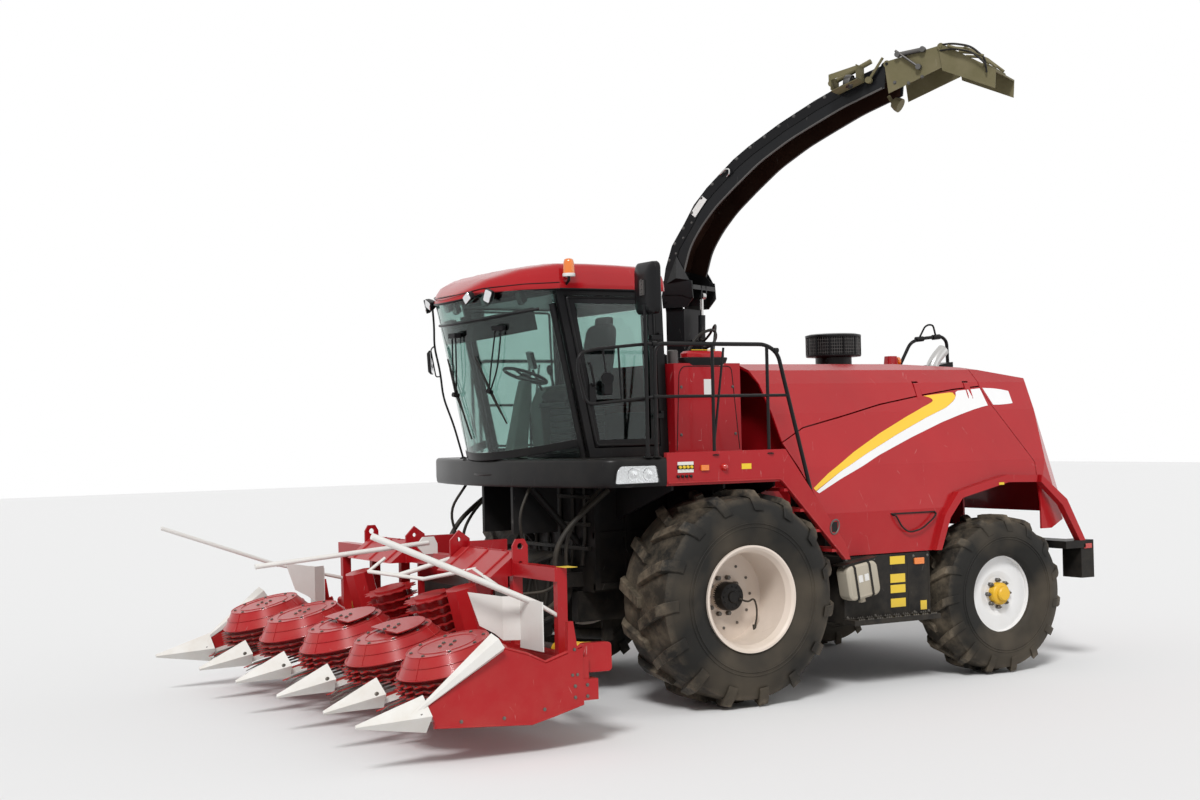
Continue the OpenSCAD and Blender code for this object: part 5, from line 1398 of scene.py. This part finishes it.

# %% [markdown]
# The lower black box carries blank safety plates, a reflector and a small strapped tank of
# translucent plastic, grey with field dirt. The tank is blow moulded, so it has broad round
# corners, and two straps lie round it.

# %% Plates, tank and step
BOX_SIDE, BOX_BACK, STEP_Z = 1.4, -2.125, 0.59
for s, side in SIDES:
    out = Vector((0, s, 0))
    signs = Bench()
    for z, tall in ((1.064, 0.07), (0.907, 0.075), (0.815, 0.07), (0.694, 0.075)):
        plate(signs, at(-1.76, s * BOX_SIDE, z), out, 0.165, tall, 0.003)
    plate(signs, at(-2.045, s * BOX_SIDE, 0.655), out, 0.07, 0.08, 0.003)
    signs.done(f"box_plates_{side}", plate_yellow, "white_paint")
    made = Bench().sheet(rounded_box(0.055, 0.028, 0.008), 0, 0.014,
        place(at(-2.0, s * BOX_SIDE, 1.045), out))
    made.done(f"box_reflector_{side}", amber, "lamp", bevel=0.002)
    tank = Bench()
    tilt = place(at(-1.262, s * 1.485, 0.925), out, (1, 0, -0.16))
    loft(tank, [(0.15, 0.13, 0.05, -0.083), (0.168, 0.148, 0.06, -0.07), (0.172, 0.152, 0.06, 0.0),
        (0.168, 0.148, 0.06, 0.062), (0.15, 0.13, 0.05, 0.078)], tilt)
    tank.turned([(0.032, 0.145), (0.032, 0.185), (0.028, 0.19)], tilt @ ON_AXLE, 20)
    tank.done(f"side_tank_{side}", tank_plastic, "plastic_black", bevel=0.004)
    straps = Bench()
    for u in (-0.075, 0.085):
        ring = [(u, 0.155, -0.085), (u, 0.157, 0.0), (u, 0.153, 0.066), (u, 0.13, 0.082), (u, -0.13, 0.082),
            (u, -0.153, 0.066), (u, -0.157, 0.0), (u, -0.155, -0.085)]
        for a, b in zip(ring, ring[1:]):
            mid, run = (Vector(a) + Vector(b)) / 2, Vector(b) - Vector(a)
            straps.block((-0.011, -run.length / 2 - 0.001, -0.0015),
                (0.011, run.length / 2 + 0.001, 0.0015),
                tilt @ place(mid, Vector((1, 0, 0)).cross(run), (1, 0, 0)))
    straps.block((-0.19, -0.17, -0.088), (0.19, -0.155, 0.06), tilt)
    straps.done(f"tank_straps_{side}", black_paint, "black_paint")
    labels = Bench()
    for u in (-0.03, 0.035):
        labels.sheet([(u - 0.022, -0.055), (u + 0.022, -0.055), (u + 0.022, 0.005),
            (u - 0.022, 0.005)], 0.0785, 0.081, tilt)
    labels.done(f"tank_labels_{side}", plate_white, "white_paint")
    teeth = Bench()
    for k in range(9):
        for u in (0.0, 0.024, 0.048):
            x = -2.08 + 0.1 * k + 0.011 + u
            for y in (1.40, 1.542):
                tooth = ((x, STEP_Z), (x + 0.018, STEP_Z), (x + 0.009, STEP_Z + 0.014))
                teeth.slab(*[[at(px, s * (y + h), z) for px, z in tooth] for h in (0.006, 0)])
    teeth.done(f"step_teeth_{side}", dull_steel, "black_paint")
    rim_bolts = Bench()
    for x in (-1.20, -1.50, -1.94, -2.10):
        for z in (0.60, 1.09):
            rim_bolts.bolt(at(x, s * BOX_SIDE, z), out, 0.01)
    rim_bolts.done(f"box_bolts_{side}", dull_steel, "chrome")
    seam_at = Bench()
    for x in (-2.11, -1.88):
        seam_at.side_block(s, (x, 1.399, 0.56), (x + 0.005, 1.4025, 1.11))
    seam_at.done(f"box_seams_{side}", hose_rubber, "black_paint")
print("side box stands", BOX_SIDE, "m out and ends", -BOX_BACK, "m behind the front axle")

# %% [markdown]
# The header's drums are turned pieces of thin sheet: a cone with a rolled brim, a welded seam and
# a flat lid with a stiffening ring. The lid's bolts are small, but they give the row its scale.
# Each piece rides on its own drum, so it turns with it.

# %% Drums
DRUM_PITCH = 0.97
TOOTH = [(0.385, -0.25), (0.385, 0.3), (0.4385, 0.63), (0.4185, 0.82)]
for i in range(5):
    y = (i - 2) * DRUM_PITCH
    base = place(in_header(0, y, 0), in_header(0, 0, 1) - in_header(0, 0, 0),
        in_header(1, 0, 0) - in_header(0, 0, 0))
    body = f"drum_{i + 1}"
    trim = Bench()
    for radius, height, thick in ((0.4035, -0.004, 0.006), (0.301, 0.1295, 0.005), (0.352, 0.0655, 0.003)):
        trim.tube([base @ around(radius, a, height) for a in turns(48, closed=True)], thick, 6)
    trim.tube([base @ around(0.215, a, 0.131) for a in turns(40, closed=True)], 0.004, 6)
    for a in (0.4, 0.4 + math.pi, 2.2):
        seam_line = [base @ around(r, a, h) for r, h in ((0.397, 0.0), (0.303, 0.129))]
        trim.tube(seam_line, 0.004, 6)
    trim.done(f"drum_trim_{i + 1}", red_header, "red_paint", body)
    heads = Bench()
    for a in turns(8, 0.5):
        heads.bolt(base @ around(0.265, a, 0.13), base.to_3x3() @ Vector((0, 0, 1)), 0.011)
    for a in turns(4):
        heads.bolt(base @ around(0.06, a, 0.169 if i in (2, 3) else 0.13),
            base.to_3x3() @ Vector((0, 0, 1)), 0.012)
    heads.done(f"drum_bolts_{i + 1}", dull_steel, "chrome", body)
    edges = Bench()
    way = 1 if i > 1 else -1
    for z in (-0.05, -0.09, -0.13):
        for k in range(24):
            pts = [(r, 2 * math.pi * (k + q) / 24) for r, q in TOOTH]
            pts = [(r * math.cos(a), way * r * math.sin(a)) for r, a in pts]
            edges.sheet(pts, z + 0.0078, z + 0.0098, base)
    edges.done(f"drum_edges_{i + 1}", dull_steel, "chrome", body)
print("five drums", DRUM_PITCH, "m apart")

# %% [markdown]
# Steel fingers lie between the white points and lift the stalks off the ground, and small red
# plates guide them into the teeth. The points themselves are folded from sheet, so each one has a
# standing rib along its back, a rolled lower edge and a pin at its foot.

# %% Points, fingers and plates
POINT_ROWS = [(2.353, 3.70, 0.31, 3.195, 0.35, 0.13), (1.455, 3.58, 0.28, 3.14, 0.385, 0.115),
    (0.485, 3.58, 0.28, 3.14, 0.385, 0.115)]
trim, pins = Bench(), Bench()
for y, tip_x, tip_z, foot_x, foot_z, radius in POINT_ROWS:
    for s in (1, -1):
        tip, foot = at(tip_x, s * y, tip_z), at(foot_x, s * y, foot_z)
        for k in range(4):
            a = math.pi / 2 * k
            run = place(foot, tip - foot)
            edge = run @ around(radius - 0.003, a)
            trim.tube([edge.lerp(tip, 0.01), edge.lerp(tip, 0.96)], 0.003, 6)
        for way in (s, -s):
            spot = place(foot + Vector((0.06, way * radius * 0.66, 0)), (0, way, 0.3))
            pins.turned([(0.017, -0.006), (0.017, 0.012), (0.012, 0.016)], spot, 16)
trim.done("point_edges", white_paint, "white_paint", "header")
pins.done("point_pins", dull_steel, "chrome", "header")
fingers, guides = Bench(), Bench()
for i in range(5):
    for k in range(5):
        y = (i - 2) * DRUM_PITCH + (k - 2) * 0.115
        reach = 0.62 - 0.05 * abs(k - 2)
        fingers.tube([in_header(0.10, y, -0.212), in_header(0.45, y, -0.205), in_header(reach, y, -0.222)],
            [0.008, 0.008, 0.003], 6)
    for s in (1, -1):
        y = (i - 2) * DRUM_PITCH + s * 0.33
        guides.sheet([(0.10, -0.05), (0.30, -0.05), (0.52, 0.0), (0.30, 0.05), (0.10, 0.05)], -0.238, -0.23,
            place(in_header(0, y, 0), in_header(0, 0, 1) - in_header(0, 0, 0),
            in_header(1, 0, 0) - in_header(0, 0, 0)))
fingers.done("crop_fingers", dull_steel, "chrome", "header")
guides.done("crop_guides", red_header, "red_paint", "header")
print("fingers and guides lie on the floor's front edge")

# %% [markdown]
# The header's frame gets its bolts, the blank yellow plate, the flange round each side wall, and
# the yellow guard over the drive shaft, which comes out of the feeder housing and runs to the
# gearbox behind the near post.

# %% Header frame
WALL_Y = 2.415
for s, side in SIDES:
    wall_bolts, flange = Bench(), Bench()
    out = Vector((0, s, 0))
    for x, z in ((2.05, 0.36), (2.05, 0.44), (1.95, 0.36), (1.95, 0.44), (2.30, 0.30),
            (2.62, 0.27), (2.95, 0.28)):
        wall_bolts.bolt(at(x, s * WALL_Y, z), out, 0.01)
    for x, z in ((2.03, 0.52), (2.07, 0.52), (2.05, 0.70)):
        wall_bolts.bolt(at(x, s * WALL_Y, z), out, 0.009)
    wall_bolts.done(f"wall_bolts_{side}", dull_steel, "chrome", "header")
    edge = [at(x, s * (WALL_Y - 0.015), z) for x, z in ((1.985, 0.72), (2.28, 0.63), (2.43, 0.70),
        (2.60, 0.752), (3.195, 0.408))]
    flange.tube(edge, 0.012, 8)
    low = [at(x, s * (WALL_Y - 0.001), z) for x, z in ((1.985, 0.306), (2.22, 0.246),
        (2.40, 0.206), (3.145, 0.256))]
    flange.tube(low, 0.006, 8)
    flange.done(f"wall_flange_{side}", red_header, "red_paint", "header")
    guard = Bench()
    m = place(at(1.74, s * 1.60, 0.60), (0.13, s, 0.03))
    guard.turned([(0.055, 0.0), (0.055, 0.30), (0.075, 0.32), (0.085, 0.40), (0.07, 0.42), (0.085, 0.45),
        (0.09, 0.50), (0.074, 0.52), (0.092, 0.55), (0.10, 0.62), (0.10, 0.66), (0.07, 0.68)], m, 28)
    guard.done(f"drive_guard_{side}", guard_yellow, "white_paint", "header", 0.002)
    made = Bench().turned([(0.035, -0.25), (0.035, 0.72)], m, 16)
    made.done(f"drive_shaft_{side}", dull_steel, "chrome", "header")
    box = loft(Bench(), [(0.10, 0.09, 0.03, 0.68), (0.115, 0.105, 0.03, 0.70), (0.115, 0.105, 0.03, 0.78)], m)
    box.done(f"drive_box_{side}", red_header, "red_paint", "header", 0.004)
sign = plate(Bench(), at(1.935, 2.12, 1.262), (0, 0, 1), 0.10, 0.14, 0.003, (0, 1, 0))
sign.done("header_plate", plate_yellow, "white_paint", "header")
roof_ribs = Bench()
for s in (1, -1):
    for y in (0.60, 0.95, 1.30):
        roof_ribs.tube([at(1.990, s * y, 1.335), at(2.205, s * y, 1.17)], 0.009, 8)
    roof_ribs.tube([at(1.935, s * 0.47, 1.332), at(1.935, s * 1.43, 1.332)], 0.008, 8)
    for y in (0.55, 0.85, 1.15, 1.38):
        roof_ribs.bolt(at(1.96, s * y, 1.333), (0, 0, 1), 0.012)
roof_ribs.done("roof_ribs", red_header, "red_paint", "header")
print("drive guard points at", [round(v, 2) for v in m.to_3x3().col[2]])

# %% [markdown]
# Between the cab and the header there is a lot of dark machinery: a lattice on each side of the
# feeder, a ladder of pipes, and thick hoses that loop from under the platform to the header's
# couplings. They are long and loose on purpose, so that the header can lift.

# %% Feeder lattice and hoses
LATTICE_Y = 0.412
for s, side in SIDES:
    lattice = Bench()
    y = s * LATTICE_Y
    top = [at(1.12, y, 1.21), at(1.90, y, 0.985)]
    low = [at(1.14, y, 0.70), at(1.90, y, 0.40)]
    for chord in (top, low):
        lattice.tube(chord, 0.022, 8)
    for k in range(4):
        t = (k + 0.5) / 4
        lattice.tube([top[0].lerp(top[1], k / 4), low[0].lerp(low[1], t)], 0.016, 8)
        lattice.tube([low[0].lerp(low[1], t), top[0].lerp(top[1], (k + 1) / 4)], 0.016, 8)
    lattice.done(f"feeder_lattice_{side}", black_paint, "black_paint", "header")
    rows = Bench()
    rows.tube([at(0.90, s * 0.98, 1.76), at(1.10, s * 1.0, 1.63), at(1.30, s * 1.0, 1.47),
        at(1.42, s * 1.0, 1.29), at(1.42, s * 1.0, 1.06), at(1.36, s * 0.98, 0.92),
        at(1.46, s * 0.90, 0.80), at(1.62, s * 0.80, 0.86)], 0.021, 12, 0.12)
    rows.tube([at(0.92, s * 0.90, 1.78), at(1.16, s * 0.95, 1.58), at(1.30, s * 0.96, 1.36),
        at(1.28, s * 0.94, 1.10), at(1.40, s * 0.86, 0.96), at(1.60, s * 0.72, 0.94)], 0.014, 10, 0.12)
    rows.tube([at(1.42, s * 0.60, 1.80), at(1.56, s * 0.66, 1.58), at(1.50, s * 0.62, 1.30),
        at(1.56, s * 0.56, 1.14), at(1.72, s * 0.50, 1.10)], 0.012, 10, 0.12)
    rows.done(f"header_hoses_{side}", hose_rubber, "black_paint", "header")
    block_at = loft(Bench(), [(0.12, 0.08, 0.02, -0.03), (0.12, 0.08, 0.02, 0.10)],
        place(at(1.62, s * 0.46, 0.90), (0, s, 0)))
    for k in range(3):
        block_at.turned([(0.022, 0.10), (0.022, 0.16), (0.017, 0.17)],
            place(at(1.55 + 0.07 * k, s * 0.46, 0.90), (0, s, 0)), 6)
    block_at.done(f"hose_block_{side}", dull_steel, "chrome", "header", 0.002)
under = Bench()
for y in (-0.55, -0.35, -0.12, 0.1, 0.32, 0.52):
    under.tube([at(0.865, y, 1.82), at(0.865, y, 1.35), at(0.875, y * 0.92, 1.12)], 0.015, 8, 0.05)
for z in (1.68, 1.45, 1.25):
    under.block((0.852, -0.60, z), (0.884, 0.60, z + 0.03), FROM_AXLE)
under.done("front_pipes", hose_rubber, "black_paint")
UNDER_STRUT = [(0.64, 1.80), (1.50, 1.80), (1.50, 1.76), (0.64, 1.50)]
frame_bars = Bench()
for s in (1, -1):
    for x in (-0.20, 0.15, 0.50, 0.80):
        frame_bars.side_block(s, (x, 0.62, 0.92), (x + 0.05, 0.665, 1.79))
    for z in (0.92, 1.35, 1.74):
        frame_bars.side_block(s, (-0.20, 0.62, z), (0.85, 0.65, z + 0.05))
    for x in (-0.40, 0.10, 0.60):
        frame_bars.slab(*[[at(x + h, s * y, z) for y, z in UNDER_STRUT] for h in (0.02, 0)])
    frame_bars.side_block(s, (1.0, 0.25, 1.40), (1.42, 0.29, 1.80))
    frame_bars.tube([at(0.86, s * 0.40, 1.30), at(1.30, s * 0.40, 1.78)], 0.03, 10)
frame_bars.done("under_cab_frame", black_paint, "black_paint")
print("hoses reach", round(1.72 - 0.9, 2), "m ahead of the platform")

# %% [markdown]
# The floor is plain and pale, and it meets the wheels' lowest points. The background is white to
# the camera and in reflections, while the world's light on the machine is much weaker, so that
# one large soft lamp, high in front of the cab's left corner, still draws the forms.

# %% Floor, world and lamps
floor_mesh = bpy.data.meshes.new("floor")
floor_mesh.from_pydata([(-60, -60, 0), (60, -60, 0), (60, 60, 0), (-60, 60, 0)], [], [(0, 1, 2, 3)])
floor = bpy.data.objects.new("floor", floor_mesh)
bpy.context.scene.collection.objects.link(floor)
floor_coat = bpy.data.materials.new("floor")
floor_coat.use_nodes = True
floor_shader = floor_coat.node_tree.nodes["Principled BSDF"]
floor_shader.inputs["Base Color"].default_value = (0.8, 0.8, 0.8, 1)
floor_shader.inputs["Roughness"].default_value = 0.9
floor_mesh.materials.append(floor_coat)

world = bpy.data.worlds.new("studio")
world.use_nodes = True
bpy.context.scene.world = world
tree = world.node_tree
tree.nodes.clear()
ray = tree.nodes.new("ShaderNodeLightPath")
seen = sums(tree, "MAXIMUM", ray.outputs["Is Camera Ray"], ray.outputs["Is Transmission Ray"])
seen = sums(tree, "MAXIMUM", seen, ray.outputs["Is Glossy Ray"])
strength = sums(tree, "MULTIPLY_ADD", seen, 0.5, 0.5)
backdrop = node(tree, "Background", {"Color": (1, 1, 1, 1), "Strength": strength})
node(tree, "OutputWorld", {"Surface": backdrop.outputs[0]})


def sun(name, way, strength, angle):
    data = bpy.data.lights.new(name, "SUN")
    data.energy, data.angle = strength, math.radians(angle)
    lamp = bpy.data.objects.new(name, data)
    lamp.matrix_world = place((0, 0, 8), -Vector(way))
    bpy.context.scene.collection.objects.link(lamp)
    return lamp


key = sun("key lamp", (-0.5, -0.6, -0.75), 2.3, 14)
fill = sun("fill lamp", (0.7, -0.5, -0.35), 0.35, 60)
bpy.context.scene.view_settings.view_transform = "Standard"
print("lamps:", key.name, fill.name)
